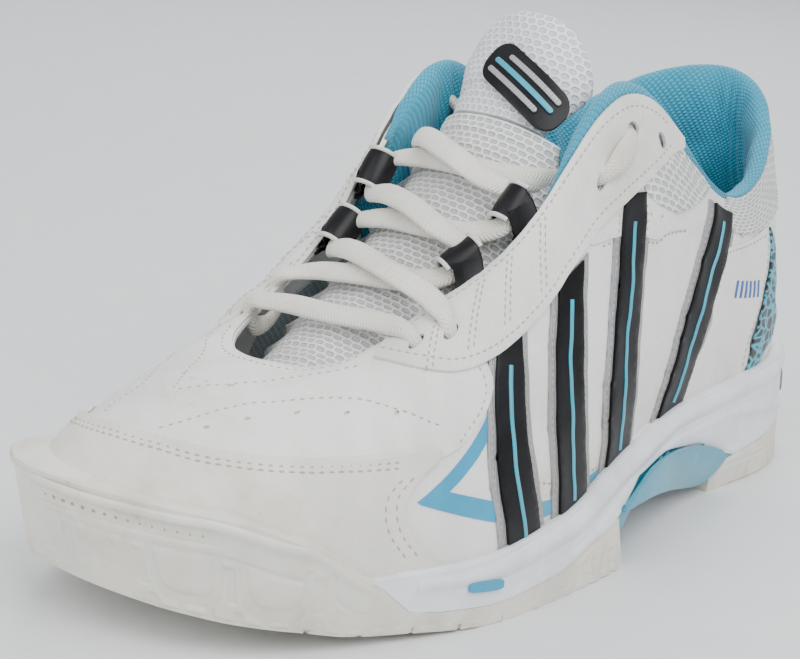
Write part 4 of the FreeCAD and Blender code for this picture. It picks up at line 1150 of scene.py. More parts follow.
def toe_relief(station, t):
    """A raised lip along the cap's top edge."""
    edge = np.interp(np.abs(station), [0, 0.76, 1.32, 2.12, 3.14, 3.6],
                     [0.495, 0.49, 0.475, 0.47, 0.46, 0.44])
    return 0.75 * np.exp(-((t - edge + 0.012) / 0.012) ** 2)


toe_cap = panel("toe_cap_twill", toe_outline, TOE_TWILL, 0.92, 1.0, step=1.5, relief=toe_relief, edge=0.3)
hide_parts("toe_cap")


seam("toe_cap_stitches", [
    [(-s, t - 0.035) for s, t in reversed(toe_top)] + [(s, t - 0.035) for s, t in toe_top[1:]],
    [(-s, t - 0.055) for s, t in reversed(toe_top)] + [(s, t - 0.055) for s, t in toe_top[1:]]]
     + [turned for k in (0.10, 0.20) for line in [[(s - k, t) for s, t in TOE_SIDE[3:-1]]]
        for turned in (line, mirrored(line))], 1.98)
VAMP_CURVES = [[(0.55, 0.53), (0.72, 0.58), (1.2, 0.715), (2.14, 0.725), (2.9, 0.64), (3.56, 0.51)],
               [(0.05, 0.72), (0.26, 0.77), (1.18, 0.89), (1.96, 0.88), (2.3, 0.86)]]
seam("vamp_stitches", VAMP_CURVES + [mirrored(line) for line in VAMP_CURVES]
     + [[(-2.1, 0.94), (-1.18, 0.95), (0, 0.955), (1.18, 0.95), (2.1, 0.94)]], 0.9, pitch=2.2, length=1.7,
     radius=0.26)
seam("vamp_edge_stitches", [[(s - 0.09, t) for s, t in VAMP_BACK[2:6]],
                            [(-s + 0.09, t) for s, t in VAMP_BACK[2:6]]],
     0.9, pitch=2.0, length=1.6, radius=0.24)
print("vamp and toe cap made")

# %% [markdown]
# ## Eyestays, windows and the side cage
# A ribbed synthetic eyestay doubles each edge where the lace pulls. Four narrow straps fan out of the sole
# under it, black with a teal cord down the middle and silver stitched edges, and hold the foot. An open
# mesh window and a punched triangle fill the gap at the ankle.

# %% Eyestays
STAY_OUTER = [(2.5, 0.86), (3.2, 0.74), (3.7, 0.665), (4.2, 0.64), (4.8, 0.655), (5.4, 0.70), (5.9, 0.715),
              (6.3, 0.76), (6.7, 0.86), (7.0, 0.94)]
STAY_INNER = [(7.05, 0.985), (6.0, 0.988), (5.0, 0.988), (4.2, 0.988), (3.4, 0.988), (2.5, 0.988)]
for side, word in ((1, "lateral"), (-1, "medial")):
    line = curved(STAY_OUTER, False, 5)
    outline = line + STAY_INNER
    stitch_outer = [(s + 0.02, t + 0.035) for s, t in STAY_OUTER[:-1]]
    stitch_inner = [(2.7, 0.955), (3.6, 0.955), (4.6, 0.955), (5.6, 0.955), (6.7, 0.952)]
    loops = [3.6, 4.56] if side > 0 else [3.66, 4.42]
    ties = [[(loop + d, 0.71), (loop + d * 1.1, 0.94)] for loop in loops for d in (-0.28, -0.21, 0.21, 0.28)]
    lines = [stitch_outer, stitch_inner] + ties
    if side < 0:
        outline = mirrored(outline)
        lines = [mirrored(each) for each in lines]
    stay = panel(f"eyestay_{word}_ribbed", outline, STAY_RIBS, 0.92, 1.0, eyelet_holes(side), step=1.6,
                 edge=0.3)
    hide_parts(f"eyestay_{word}")
    seam(f"eyestay_{word}_stitches", lines, 1.98, pitch=2.0, length=1.6, radius=0.24)


# %% Side cage: straps with a teal cord and silver edges
STRAPS = [(4.47, 0.20, 4.36, 0.645, 0.16), (5.15, 0.20, 5.18, 0.67, 0.16), (5.88, 0.20, 6.08, 0.725, 0.16),
          (6.80, 0.20, 7.72, 0.86, 0.16)]


def strap_lines(foot, foot_half, tip, tip_t, tip_half, grow=0.0):
    """Both edges and the middle of a strap, from the sole up."""
    middle = (foot + tip) / 2 - 0.08
    edges = []
    for sign in (-1, 0, 1):
        edges.append([(foot + sign * (foot_half + grow), 0.005),
                      (middle + sign * (0.18 + grow), tip_t * 0.5),
                      (tip + sign * (tip_half + grow), tip_t)])
    return [curved(edge, False, 8) for edge in edges]


for side, word in ((1, "lateral"), (-1, "medial")):
    turn = (lambda line: line) if side > 0 else mirrored
    first = None
    for k, strap in enumerate(STRAPS):
        front, middle, back = strap_lines(*strap)
        strap_front, _, strap_back = strap_lines(*strap, grow=0.085)
        tape_outline = strap_front + list(reversed(strap_back))
        band_outline = front + list(reversed(back))
        tape = panel(f"strap_{word}_{k + 1}_tape", turn(tape_outline), SILVER_TAPE, 0.1, 0.5, step=1.6,
                     edge=0.15)
        strip = panel(f"strap_{word}_{k + 1}", turn(band_outline), BLACK_GLOSS, 0.6, 0.8, step=1.6, edge=0.3)
        first = first or strip
        cord_line = middle[1:-2]
        piping(f"strap_{word}_{k + 1}_cord", turn(cord_line), 1.40, 1.3, TEAL_PIPING, rise=0.9)
        edge_front, _, edge_back = strap_lines(*strap, grow=0.045)
        seam(f"strap_{word}_{k + 1}_stitches", [turn(edge_front[1:-1]), turn(edge_back[1:-1])], 0.68,
             pitch=1.9,
             length=1.5, radius=0.24)
    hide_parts(f"side_cage_{word}")

# %% Ankle triangle, mesh window and teal edge
TRIANGLE = [(5.44, 0.70), (5.86, 0.72), (6.26, 0.745), (6.60, 0.70), (6.96, 0.67), (6.58, 0.625),
            (6.34, 0.60),
            (5.66, 0.655)]
WINDOW = [(6.22, 0.755), (6.60, 0.69), (7.02, 0.745), (7.40, 0.87), (7.50, 0.94), (6.98, 0.92)]
ACCENT = (curved([(4.17, 0.645), (4.17, 0.53), (3.90, 0.41), (3.36, 0.275)], False, 5)
          + curved([(3.40, 0.262), (4.38, 0.085), (5.0, 0.035), (5.62, 0.005)], False, 5)
          + [(5.62, 0.03), (5.0, 0.075), (4.42, 0.145)]
          + curved([(3.66, 0.285), (4.05, 0.39), (4.25, 0.52), (4.22, 0.645)], False, 5))
for side, word in ((1, "lateral"), (-1, "medial")):
    turn = (lambda line: line) if side > 0 else mirrored
    holes = [hole(side * s, t, 0.7, 8) for s, t in ((6.14, 0.70), (5.92, 0.69), (6.32, 0.665), (6.5, 0.665))]
    triangle = panel(f"ankle_patch_{word}", turn(curved(TRIANGLE, True, 4)), WHITE_LEATHER, 0.1, 0.6, holes,
                     step=1.6, edge=0.2)
    window = panel(f"mesh_window_{word}_cloth", turn(curved(WINDOW, True, 4)), OPEN_MESH, 0.1, 0.8, step=1.5,
                   edge=0.3, relief=lambda s, t: 0.5 * np.cos(t * 2 * math.pi / 0.05) ** 2)
    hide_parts(f"mesh_window_{word}")
    accent = panel(f"accent_film_{word}", turn(ACCENT), TEAL_FILM, 0.06, 0.15, step=1.4, edge=0)
    seam(f"quarter_{word}_stitches", [turn(line) for line in (
        [(4.42, 0.60), (4.30, 0.50), (4.14, 0.40), (4.12, 0.33), (4.45, 0.23), (5.0, 0.12), (5.6, 0.04)],
        [(5.62, 0.645), (6.34, 0.59), (6.58, 0.615), (6.95, 0.655)])], 0.1, pitch=2.2, length=1.7,
         radius=0.26)
print("side panels made")

# %% [markdown]
# ## The heel
# The heel keeps a smooth white panel on each side with a short run of slanted blue bars, a narrow marbled
# crescent behind it and fine mesh round the back up to the tab.

# %% Heel panels
HEEL_PANEL = [(7.30, 0.58), (7.75, 0.66), (8.30, 0.70), (8.58, 0.69), (8.42, 0.45), (8.14, 0.20),
              (8.05, 0.01),
              (7.0, 0.008), (7.35, 0.30)]
CRESCENT = [(8.60, 0.70), (8.46, 0.45), (8.20, 0.20), (8.12, 0.01), (8.30, 0.01), (8.50, 0.08), (8.80, 0.16),
            (8.66, 0.30), (8.68, 0.5)]
for side, word in ((1, "lateral"), (-1, "medial")):
    turn = (lambda line: line) if side > 0 else mirrored
    heel_panel = panel(f"heel_panel_{word}", turn(curved(HEEL_PANEL, True, 4)), WHITE_LEATHER, 0.1, 0.7,
                       step=1.8,
                       edge=0.25)
    crescent = panel(f"heel_crescent_{word}", turn(curved(CRESCENT, True, 4)), MARBLE, 0.85, 0.5,
                     step=1.4, edge=0.2)
    if side > 0:
        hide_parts("heel_overlay")
    for k in range(6):
        s, t = 7.72 + 0.085 * k, 0.40 - 0.006 * k
        bar = [(s, t), (s + 0.04, t), (s + 0.075, t + 0.085), (s + 0.035, t + 0.085)]
        panel(f"heel_bar_{word}_{k + 1}", turn(bar), BLUE_FILM, 0.78, 0.12, step=0.9, edge=0)
    seam(f"heel_panel_{word}_stitches", [turn([(7.38, 0.57), (7.75, 0.64), (8.28, 0.675), (8.50, 0.67)]),
                                         turn([(8.52, 0.66), (8.38, 0.45), (8.11, 0.20), (8.02, 0.04)])],
         0.9,
         pitch=2.0, length=1.6, radius=0.24)
for side, word in ((1, "lateral"), (-1, "medial")):
    line = [(7.62, 0.76), (8.1, 0.735), (8.62, 0.715), (9.28, 0.70), (9.28, 0.985), (8.6, 0.985),
            (8.0, 0.985)]
    panel(f"ankle_mesh_{word}", line if side > 0 else mirrored(line), OPEN_MESH, 0.1, 0.9, step=1.6,
          edge=0.3)
heel_tab = panel("heel_tab_mesh", curved([(8.95, 0.70), (9.5, 0.68), (10, 0.67), (10.5, 0.68), (11.05, 0.70),
                                          (10.95, 0.95), (10.5, 0.975), (10, 0.978), (9.5, 0.975),
                                          (9.05, 0.95)],
                                         True, 4), OPEN_MESH, 0.1, 0.9, step=1.8, edge=0.3)
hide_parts("heel_tab")
seam("heel_tab_stitches", [[(9.02, 0.72), (9.5, 0.70), (10, 0.69), (10.5, 0.70), (10.98, 0.72)]], 1.06,
     pitch=2.0,
     length=1.6, radius=0.24)
print("heel made")

# %% [markdown]
# ## Padding, lining and footbed
# Foam between the upper and a knitted lining makes the collar thick and soft, and the lining is rolled over
# the top edge. It is one closed section swept round the collar: thin under the eyelets, fullest below the
# edge at the ankle, with shallow puckers where the knit is pulled round the curve. The footbed is a sheet
# of foam with a knitted cover and edges that curl up, cut in two where its heel lifts.

# %% Collar
COLLAR_SECTION = [(0.955, -0.3), (0.975, 0.3), (1.0, 0.8), (1.018, 0.1), (1.026, -1.6), (1.018, -3.4),
                  (0.98, -5.0),
                  (0.92, -6.0), (0.85, -6.3), (0.75, -6.0), (0.66, -5.2), (0.58, -3.8), (0.525, -2.5),
                  (0.51, -1.75), (0.60, -1.5), (0.80, -1.5), (0.93, -1.45)]


def sweep(name, stations, section, material, shape=None, uv_scale=1.0, cap_to=None, body="shoe", place=skin):
    """A closed section of (t, height), swept round the form and closed at both ends."""
    ring = np.array(curved(section, True, 4))
    size, count = len(ring), len(stations)
    s = np.repeat(np.asarray(stations)[:, None], size, 1)
    t, h = np.repeat(ring[None, :, 0], count, 0), np.repeat(ring[None, :, 1], count, 0)
    if shape:
        t, h = shape(s, t, h)
    points = place(s, t, h).reshape(-1, 3)
    around = np.concatenate(([0], np.cumsum(np.hypot(np.diff(ring[:, 0]) * RISE_MM, np.diff(ring[:, 1])))))
    uv = np.stack((s * STATION_MM, np.repeat(around[None], count, 0)), -1).reshape(-1, 2) * uv_scale
    faces = [(i * size + j, i * size + (j + 1) % size, (i + 1) * size + (j + 1) % size, (i + 1) * size + j)
             for i in range(count - 1) for j in range(size)]
    faces += [tuple(range(size)), tuple((count - 1) * size + j for j in reversed(range(size)))]
    ob = mesh_object(name, points, faces, uv)
    bpy.ops.object.select_all(action="DESELECT")
    bpy.context.view_layer.objects.active = ob
    ob.select_set(True)
    bpy.ops.object.mode_set(mode="EDIT")
    bpy.ops.mesh.select_all(action="SELECT")
    bpy.ops.mesh.normals_make_consistent(inside=False)
    bpy.ops.object.mode_set(mode="OBJECT")
    smooth(ob, 60)
    return tidy(name, ob, material, body)


def collar_shape(s, t, h):
    """Thinner at both ends, fuller behind the ankle, with a fold and small puckers."""
    ends = np.minimum(s - 4.95, 15.05 - s)
    swell = 0.25 + 0.75 * step_up(ends, 0.0, 0.5)
    full = 1 + 0.14 * np.exp(-((np.abs(s - 10) - 2.0) / 0.8) ** 2)
    pucker = 0.35 * np.sin(s * 23 + 3 * np.sin(s * 5)) * np.clip((-h - 2) / 4, 0, 1)
    fold = 1.0 * np.exp(-((t - 0.78 - 0.02 * np.sin(s * 4)) / 0.035) ** 2) * np.clip((-h - 3) / 3, 0, 1)
    fold = fold * np.exp(-((np.abs(s - 10) - 1.6) / 1.2) ** 2)
    crease = 3.0 * np.exp(-((s - 11.35) / 0.10) ** 2) + 2.0 * np.exp(-((s - 8.65) / 0.10) ** 2)
    fold = fold + crease * np.clip((-h - 2.5) / 3, 0, 1)
    mid = -1.5
    h = mid + (h - mid) * np.where(h < mid, swell * full, 0.35 + 0.65 * swell) + pucker + fold
    return 0.985 + (t - 0.985) * (0.35 + 0.65 * swell), h


collar = sweep("collar_padding", np.linspace(4.97, 15.03, 330), COLLAR_SECTION, TEAL_KNIT, collar_shape)
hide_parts("collar_foam", "collar_lining")
lining = panel("side_lining", box_outline(4.2, 15.8, 0.02, 0.56), GREY_LINING, -2.0, 0.5, step=3.0, edge=0)


# %% Footbed
def inner_edges(inset):
    """The footbed's outline as y of each side against x."""
    s = np.linspace(0, 20, 3000)
    points = wall(s, rim(side_x(s)), np.full(s.shape, -inset))
    outer, inner = s <= 10, s >= 10
    return [(points[pick][np.argsort(points[pick][:, 0])]) for pick in (outer, inner)]


FOOTBED_INSET, FOOTBED_THICK, FOOTBED_SPLIT = 8.6, 3.7, -22.0
OUTER_EDGE, INNER_EDGE = inner_edges(FOOTBED_INSET)
tip_x = min(OUTER_EDGE[:, 0].max(), INNER_EDGE[:, 0].max())
back_x = max(OUTER_EDGE[:, 0].min(), INNER_EDGE[:, 0].min())


def footbed(name, x0, x1, body):
    """One half of the footbed, dished under the heel and curled at its edges."""
    columns, rows = 90, 41
    share = np.linspace(0, 1, columns)
    x = (x0 + (x1 - x0) * share)[:, None] + np.zeros((1, rows))
    u = np.linspace(-1, 1, rows)[None, :] + np.zeros((columns, 1))
    high = np.interp(x, OUTER_EDGE[:, 0], OUTER_EDGE[:, 1])
    low = np.interp(x, INNER_EDGE[:, 0], INNER_EDGE[:, 1])
    y = (high + low) / 2 + (high - low) / 2 * u
    dish = 0.9 * np.exp(-((x + 100) / 26) ** 2) * (1 - u ** 2)
    z = rim(x) - 1.55 - dish + 1.1 * np.abs(u) ** 5 + 0.12 * np.sin(x * 0.5) * np.sin(y * 0.6)
    points = np.stack((x, y, z), -1).reshape(-1, 3)
    faces = [(i * rows + j, (i + 1) * rows + j, (i + 1) * rows + j + 1, i * rows + j + 1)
             for i in range(columns - 1) for j in range(rows - 1)]
    ob = mesh_object(name, points, faces, points[:, :2])
    modify(ob, "SOLIDIFY", thickness=FOOTBED_THICK * MM, offset=-1)
    smooth(ob, 50)
    return tidy(name, ob, FOOTBED_KNIT, body)


front_bed = footbed("footbed_front", FOOTBED_SPLIT + 0.35, tip_x - 1, "shoe")
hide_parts("sockliner_front")
heel_bed = footbed("footbed_heel", back_x + 1, FOOTBED_SPLIT - 0.35, "sockliner_heel")
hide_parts("sockliner_heel")
print("collar, lining and footbed made")

# %% [markdown]
# ## The tongue
# The tongue follows the instep under the lace. Its lower part is thin open mesh; its top is a stuffed pad
# of honeycomb mesh with a rounded end. The pad's section is a soft rectangle that closes to nothing at the
# end.

# %% Tongue
TONGUE_DROP = float(rim(18)) - 20
TONGUE_LINE = np.array([(80, -2, 48), (66, -2, 54.5), (55, -2, 61), (39, -2, 72), (22, -2, 86),
                        (6, -2, 101.5),
                        (-2, -2, 111), (-12, -3, 124), (-20, -3, 136)], float) + (0, 0, TONGUE_DROP)
TONGUE_HALF = np.array([18, 20, 20, 18.5, 18.5, 18.5, 19, 25.5, 24], float)
TONGUE_BEND = np.array([27, 27, 27, 27, 27, 27, 27, 32, 36], float)
TONGUE_END = len(TONGUE_LINE) - 1


def tongue_middle(v):
    v = np.clip(np.asarray(v, float), 0, TONGUE_END)
    k = np.minimum(v.astype(int), TONGUE_END - 1)
    f = (v - k)[..., None]
    p0, p1, p2, p3 = (TONGUE_LINE[np.clip(k + d, 0, TONGUE_END)] for d in (-1, 0, 1, 2))
    middle = 0.5 * (2 * p1 + (p2 - p0) * f + (2 * p0 - 5 * p1 + 4 * p2 - p3) * f ** 2
                    + (3 * p1 - p0 - 3 * p2 + p3) * f ** 3)
    ahead = (p2 - p0) + (p3 - p1 - p2 + p0) * f
    out = np.stack((-ahead[..., 2], 0 * ahead[..., 0], ahead[..., 0]), -1)
    out /= np.linalg.norm(out, axis=-1, keepdims=True)
    return middle, np.where(out[..., 2:] < 0, -out, out)


def tongue_half(v):
    return np.interp(v, np.arange(len(TONGUE_HALF)), TONGUE_HALF)


def tongue_point(u, v, depth=0.0):
    """A point of the tongue: u from -1 to 1 across it, v along its crown line, depth below its face.
    Past -1 and 1 its wings go on flat, under the quarters."""
    u, v = np.broadcast_arrays(np.asarray(u, float), np.asarray(v, float))
    middle, out = tongue_middle(v)
    bend = np.interp(v, np.arange(len(TONGUE_BEND)), TONGUE_BEND)[..., None]
    half = tongue_half(v)[..., None]
    angle = np.clip(u, -1, 1)[..., None] * half / bend
    across = np.array([0.0, 1.0, 0.0])
    side = across * np.sin(angle) + out * np.cos(angle)
    wing = (across * np.cos(angle) - out * np.sin(angle)) * (u - np.clip(u, -1, 1))[..., None] * half
    return middle - out * bend + side * (bend - np.asarray(depth, float)[..., None]) + wing


def tongue_pad(name, v_rows, width, thick, crown, material, rings=64, wave=None):
    """A stuffed strip: each row is a soft rectangle of a width share and a thickness."""
    angle = np.arange(rings) * 2 * math.pi / rings
    u = np.sign(np.cos(angle)) * np.abs(np.cos(angle)) ** 0.55
    d = np.sign(np.sin(angle)) * np.abs(np.sin(angle)) ** 0.55
    v = np.repeat(v_rows[:, None], rings, 1)
    across = u[None] * width[:, None]
    depth = thick[:, None] * (0.5 - 0.5 * d[None]) - crown[:, None] * (d[None] > 0) * (1 - u[None] ** 2)
    depth = depth + (crown[:, None] * 0.4) * (d[None] < 0) * (1 - u[None] ** 2)
    if wave:
        depth = depth + wave(across, v) * (d[None] > -0.2)
    points = tongue_point(across, v, depth).reshape(-1, 3)
    count = len(v_rows)
    length = np.concatenate(([0], np.cumsum(np.linalg.norm(np.diff(tongue_middle(v_rows)[0], axis=0),
                                                           axis=1))))
    uv = np.stack((across * 20, np.repeat(length[:, None], rings, 1)), -1).reshape(-1, 2)
    faces = [(i * rings + j, (i + 1) * rings + j, (i + 1) * rings + (j + 1) % rings,
              i * rings + (j + 1) % rings)
             for i in range(count - 1) for j in range(rings)]
    faces += [tuple(range(rings)), tuple((count - 1) * rings + j for j in reversed(range(rings)))]
    ob = mesh_object(name, points, faces, uv)
    bpy.ops.object.select_all(action="DESELECT")
    bpy.context.view_layer.objects.active = ob
    ob.select_set(True)
    bpy.ops.object.mode_set(mode="EDIT")
    bpy.ops.mesh.select_all(action="SELECT")
    bpy.ops.mesh.normals_make_consistent(inside=False)
    bpy.ops.object.mode_set(mode="OBJECT")
    smooth(ob, 60)
    ob.name = ob.data.name = name
    ob.data.materials.append(material)
    return ob


v_all = np.linspace(0, TONGUE_END, 400)
fold_v = float(np.interp(111.0 + TONGUE_DROP, tongue_middle(v_all)[0][:, 2], v_all))
lower_rows = np.linspace(0.0, fold_v - 0.03, 150)
lower_width = 1.0 + 0.80 * step_up(lower_rows, 0.0, 1.0) * (1 - 0.75 * step_up(lower_rows, 4.6, 6.0))
tongue_lower = tongue_pad("tongue_lower", lower_rows, lower_width, np.full(150, 3.4), np.full(150, 0.0),
                          OPEN_MESH, wave=lambda u,
                          v: 0.25 * np.cos(v * 2 * math.pi / 0.42) * (1 - np.abs(u) ** 4))
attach(tongue_lower, "shoe")
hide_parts("tongue_body")

PAD_CORNER, PAD_LIP = 19.0, 3.5
pad_rows = np.concatenate((np.linspace(fold_v + 0.03, TONGUE_END - 0.25, 70),
                           TONGUE_END - 0.25 * (1 - np.sin(np.linspace(0, math.pi / 2, 26)[1:]))))
to_end = np.linalg.norm(tongue_middle(pad_rows)[0] - TONGUE_LINE[-1], axis=1)
inset = PAD_CORNER - np.sqrt(np.clip(PAD_CORNER ** 2 - np.clip(PAD_CORNER - to_end, 0, None) ** 2, 0, None))
lip = np.sqrt(np.clip(1 - (np.clip(PAD_LIP - to_end, 0, None) / PAD_LIP) ** 2, 0.002, None))
from_fold = np.clip((pad_rows - pad_rows[0]) / 0.8, 0, 1)
pad_width = (1 - inset / tongue_half(pad_rows)) * (0.88 + 0.12 * from_fold)
pad_thick = (3.6 + 4.2 * np.sin(from_fold * math.pi / 2) ** 0.6) * lip


def pad_wave(u, v):
    """The diagonal seam and soft lumps of the stuffing."""
    line = (v - fold_v) - 0.30 - 0.42 * (u + 1)
    return 0.9 * np.exp(-(line / 0.05) ** 2) * (u < 0.1) + 0.25 * np.sin(u * 7 + v * 3) * np.sin(v * 6)


pad = tongue_pad("tongue_pad", pad_rows, pad_width, pad_thick, 1.2 * np.sin(from_fold * math.pi / 2) * lip,
                 HONEYCOMB, wave=pad_wave)
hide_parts("tongue_top")
fold_at = tongue_middle(fold_v)[0]
fold_top = tongue_middle(fold_v + 0.5)[0]
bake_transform(pad)


# %% Badge
def badge_place(a, b, height):
    """The badge's own plane: a across it and b along it in millimetres, tilted a little."""
    tilt = math.radians(-24)
    x, y = a * math.cos(tilt) - b * math.sin(tilt), a * math.sin(tilt) + b * math.cos(tilt)
    v = 6.62 + y / 15.2
    return tongue_point((x + 7.5) / tongue_half(v), v, -np.asarray(height, float))


def badge_sheet(name, outline, low, thick, material, step=1.0, edge=0.35):
    flat_ring = []
    for (a0, b0), (a1, b1) in zip(outline, outline[1:] + outline[:1]):
        count = max(1, int(math.hypot(a1 - a0, b1 - b0) / step))
        flat_ring += [(a0 + (a1 - a0) * k / count, b0 + (b1 - b0) * k / count) for k in range(count)]
    lo, hi = np.min(flat_ring, 0), np.max(flat_ring, 0)
    grid = np.array([(a, b) for a in np.arange(lo[0], hi[0], step) for b in np.arange(lo[1], hi[1], step)])
    grid = grid[inside(grid, flat_ring)]
    ring = np.array(flat_ring)
    grid = [tuple(p) for p in grid if np.min(np.hypot(*(ring - p).T)) > step * 0.45]
    verts, _, faces = delaunay_2d_cdt([Vector(p) for p in flat_ring + grid],
                                      [(k, (k + 1) % len(flat_ring)) for k in range(len(flat_ring))], [],
                                      1, 1e-7,
                                      False)[:3]
    flat = np.array([tuple(v) for v in verts])
    faces = [tuple(f) for f in faces if inside([flat[list(f)].mean(0)], flat_ring)[0]]
    points = badge_place(flat[:, 0], flat[:, 1], np.full(len(flat), low + thick))
    ob = mesh_object(name, points, faces, flat)
    a, b, c = (Vector(points[i]) for i in faces[len(faces) // 2])
    if (b - a).cross(c - a).dot(Vector(tongue_middle(6.8)[1])) < 0:
        bpy.ops.object.select_all(action="DESELECT")
        bpy.context.view_layer.objects.active = ob
        ob.select_set(True)
        bpy.ops.object.mode_set(mode="EDIT")
        bpy.ops.mesh.select_all(action="SELECT")
        bpy.ops.mesh.flip_normals()
        bpy.ops.object.mode_set(mode="OBJECT")
    modify(ob, "SOLIDIFY", thickness=thick * MM, offset=-1)
    modify(ob, "BEVEL", width=edge * MM, segments=3, limit_method="ANGLE", angle_limit=math.radians(50))
    smooth(ob)
    return tidy(name, ob, material, "tongue_top")


def rounded(a_half, b_half, corner, per=6):
    made = []
    for k, (sa, sb) in enumerate(((1, 1), (-1, 1), (-1, -1), (1, -1))):
        for j in range(per + 1):
            angle = math.pi / 2 * (k + j / per)
            made.append((sa * (a_half - corner) + corner * math.cos(angle),
                         sb * (b_half - corner) + corner * math.sin(angle)))
    return made


badge = badge_sheet("tongue_badge_base", rounded(13.5, 5.6, 4.6), 1.2, 1.5, BLACK_GLOSS)
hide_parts("tongue_badge")
for k, (middle, half) in enumerate(((2.7, 9.0), (0.0, 10.4), (-2.7, 9.0))):
    bar = [(a + middle * 0.5, b + middle) for a, b in rounded(half, 0.7, 0.65, 3)]
    badge_sheet(f"tongue_badge_bar_{k + 1}", bar, 2.7, 0.8, SILVER_TAPE if k != 1 else TEAL_PIPING,
                step=0.6, edge=0.2)
print("tongue and badge made")

# %% [markdown]
# ## Loops and lace
# Half way up, the lace runs through loops instead of holes: a strip of coated webbing goes round the lace
# and back under the eyestay, and its cut edges are bound with clear cord. The lace is one flat plaited band
# 892 mm long. It follows the CAD lace point by point; its section is flat where it is free and gathers to
# a round bundle in every eyelet and loop.

# %% Lace loops
LOOPS = {"lateral": (3.6, 4.56), "medial": (-3.66, -4.42)}
LOOP_REACH, LOOP_RAISE, LOOP_R, LOOP_LENGTH = 5.2, 3.5, 4.1, 10.0
loop_centres = []
for word, stations in LOOPS.items():
    first = None
    for k, s in enumerate(stations):
        edge = form(s, 1.0)
        axis = form(s + 0.05, 1.0) - form(s - 0.05, 1.0)
        axis /= np.linalg.norm(axis)
        outwards = np.array([0, 1.0 if s > 0 else -1.0, 0])
        outwards -= axis * outwards.dot(axis)
        outwards /= np.linalg.norm(outwards)
        centre = edge - outwards * LOOP_REACH + np.array([0, 0, LOOP_RAISE])
        loop_centres.append(centre)
        towards = edge - centre
        towards -= axis * towards.dot(axis)
        towards /= np.linalg.norm(towards)
        upright = np.cross(axis, towards)
        upright *= 1 if upright[2] > 0 else -1
        turns = np.radians(np.linspace(58, 302, 40))
        bow = centre + LOOP_R * (np.cos(turns)[:, None] * towards + np.sin(turns)[:, None] * upright)
        over = [skin(s, 0.965, -0.5), skin(s, 0.99, 0.1)]
        under = [skin(s, 0.985, -1.95), skin(s, 0.945, -1.95)]
        route = np.concatenate(([np.array(p) for p in over], bow, [np.array(p) for p in under]))
        outs = np.concatenate(([upright, upright * 0.9 - towards * 0.1],
                               np.cos(turns)[:, None] * towards + np.sin(turns)[:, None] * upright,
                               [-upright, -upright]))
        taper = LOOP_LENGTH * np.interp(np.arange(len(route)), [0, 1, 6, len(route) - 7, len(route) - 1],
                                        [0.6, 0.75, 1, 1, 0.7])
        strap = tube_along(f"loop_{word}_{k + 1}", route, outs, taper, 0.8, BLACK_GLOSS, sides=20)
        first = first or strap
        for sign in (-1, 1):
            ring = slice(4, len(route) - 4)
            tube_along(f"loop_{word}_{k + 1}_binding_{(sign + 3) // 2}",
                       route[ring] + axis * sign * LOOP_LENGTH / 2,
                       outs[ring], 1.2, 1.5, CLEAR_FILM, sides=10)
    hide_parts(f"loop_sleeves_{word}", f"loop_webbing_{word}")

# %% Lace
LACE_POINTS = [
    (92, 26, 23.5), (73, 33, 21.5), (48, 40, 21), (22, 39, 23), (0, 36, 29), (-12, 31, 43),
    (-18, 26, 64), (-20, 21, 86), (-20, 19.5, 108.4),
    (-19.6, 34.2, 111.4), (-6.4, 35.4, 100.2),
    (-8.8, 20.5, 96.4), (6.5, 15, 98.4), (12, -1.3, 100.2), (9.5, -14, 99), (11.2, -23.9, 96.6),
    (17.8, -23.8, 87.9), (22, -14, 91), (28, 0, 91.6), (30.5, 12, 88), (23.2, 19.2, 81.8),
    (30.9, 15.8, 76), (37.7, 8, 74.8), (41.6, -5, 74.4), (41, -20, 72), (45.2, -30.6, 68.6),
    (40, -31.6, 59), (50, -30.9, 53.9), (54.1, -30.5, 64), (52, -18, 65.6), (53.3, -2, 66.7),
    (50.5, 13, 67.6), (52.1, 25.3, 67.8), (48, 22.7, 57.8), (39.9, 25, 60.8), (44.5, 29.9, 69.6),
    (41, 20, 74), (43, 8, 78), (38.5, -8, 79.2), (34, -18, 77.4), (30.6, -23.8, 74.7),
    (23, -23.8, 81.6), (26, -10, 85.9), (26, 5, 86.2), (21, 14.5, 86), (16.6, 21.2, 87.8),
    (9.8, 21.7, 95.1), (15, 12, 99), (16, 1, 104), (10.5, -11.4, 105), (1.5, -22, 101.5),
    (-9.4, -24.4, 97.4), (-7.5, -39, 99.8), (-21, -39.1, 108.7), (-21.2, -24, 107),
    (-20.5, -26, 85), (-18, -30, 63), (-12, -33, 42), (0, -34, 29), (22, -37.5, 23.5),
    (48, -41, 21), (74, -41, 21.5), (95, -33, 23.5)]
LACE_ARC_SHARE = 0.45
LACE_WIDTH, LACE_THICK, LACE_ROUND = 6.4, 3.0, 3.9


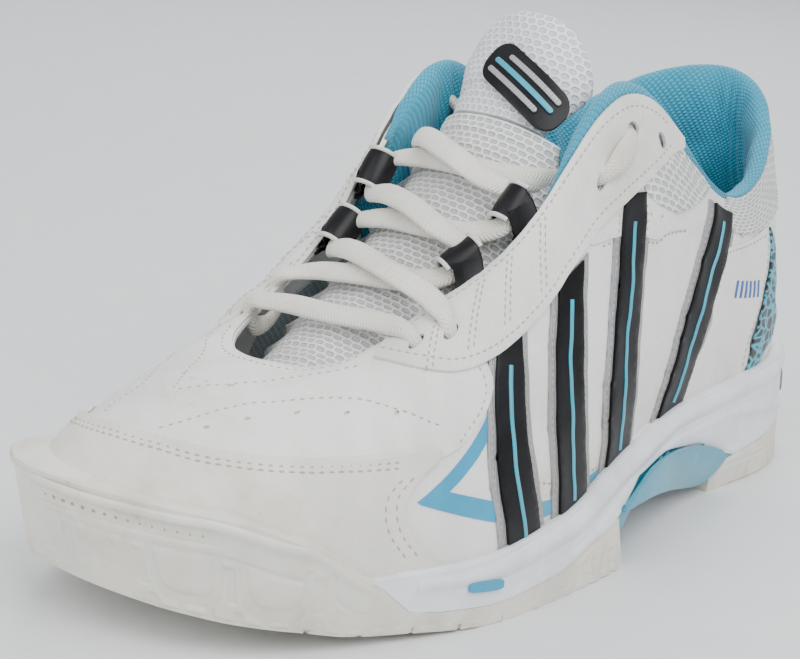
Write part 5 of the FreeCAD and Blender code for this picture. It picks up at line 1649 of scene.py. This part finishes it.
def lace_route(points, step=0.7):
    """Straight runs joined by tangent arcs, as points a step apart."""
    points = [Vector(p) + Vector((0, 0, TONGUE_DROP)) for p in points]
    made = [points[0]]
    for before, corner, after in zip(points, points[1:], points[2:]):
        back, ahead = (before - corner).normalized(), (after - corner).normalized()
        half_turn = (math.pi - back.angle(ahead)) / 2
        reach = LACE_ARC_SHARE * min((before - corner).length, (after - corner).length)
        radius = reach / math.tan(half_turn)
        inner = (back + ahead).normalized()
        centre = corner + inner * (radius / math.cos(half_turn))
        start = corner + back * reach
        axis = (start - centre).cross(corner + ahead * reach - centre)
        count = max(3, int(2 * half_turn * radius / step))
        for k in range(count + 1):
            made.append(centre + Matrix.Rotation(2 * half_turn * k / count, 3, axis) @ (start - centre))
    made.append(points[-1])
    path = np.array([tuple(p) for p in made])
    arc = np.concatenate(([0], np.cumsum(np.linalg.norm(np.diff(path, axis=0), axis=1))))
    even = np.linspace(0, arc[-1], int(arc[-1] / step))
    return np.stack([np.interp(even, arc, path[:, k]) for k in range(3)], -1), arc[-1]


lace_path, lace_length = lace_route(LACE_POINTS)
v_fine = np.linspace(0, TONGUE_END, 300)
spine, spine_out = tongue_middle(v_fine)
spine_axis = spine - spine_out * TONGUE_BEND[0]
lace_out = lace_path - np.stack([np.interp(lace_path[:, 0], spine[::-1, 0],
                                           spine_axis[::-1, k]) for k in range(3)], -1)
lace_out /= np.linalg.norm(lace_out, axis=1, keepdims=True)
squeeze_at = [form(s, t) + form_normal(s, t) * 0.5 for side in (1, -1) for s, t in
              [tuple(np.array(e, float)) for e in EYELETS[side][:4]]]
tight = np.zeros(len(lace_path))
for place in squeeze_at:
    gap = np.linalg.norm(lace_path - place, axis=1)
    tight = np.maximum(tight, 1 - step_up(gap, 2.6, 8.0))
for place in loop_centres:
    gap = np.linalg.norm(lace_path - place, axis=1)
    tight = np.maximum(tight, 0.5 * (1 - step_up(gap, 6.0, 12.0)))
for _ in range(6):
    lace_out = np.concatenate((lace_out[:1], (lace_out[:-2] + lace_out[1:-1] + lace_out[2:]) / 3,
                               lace_out[-1:]))
lace_out /= np.linalg.norm(lace_out, axis=1, keepdims=True)
lace = tube_along("shoelace_flat", lace_path, lace_out, LACE_WIDTH + (LACE_ROUND - LACE_WIDTH) * tight,
                  LACE_THICK + (LACE_ROUND - LACE_THICK) * tight, LACE_YARN, sides=20)
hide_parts("shoelace")
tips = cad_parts["aglets"]
tips.data.materials.clear()
tips.data.materials.append(CLEAR_FILM)
print("lace", round(lace_length, 1), "mm")
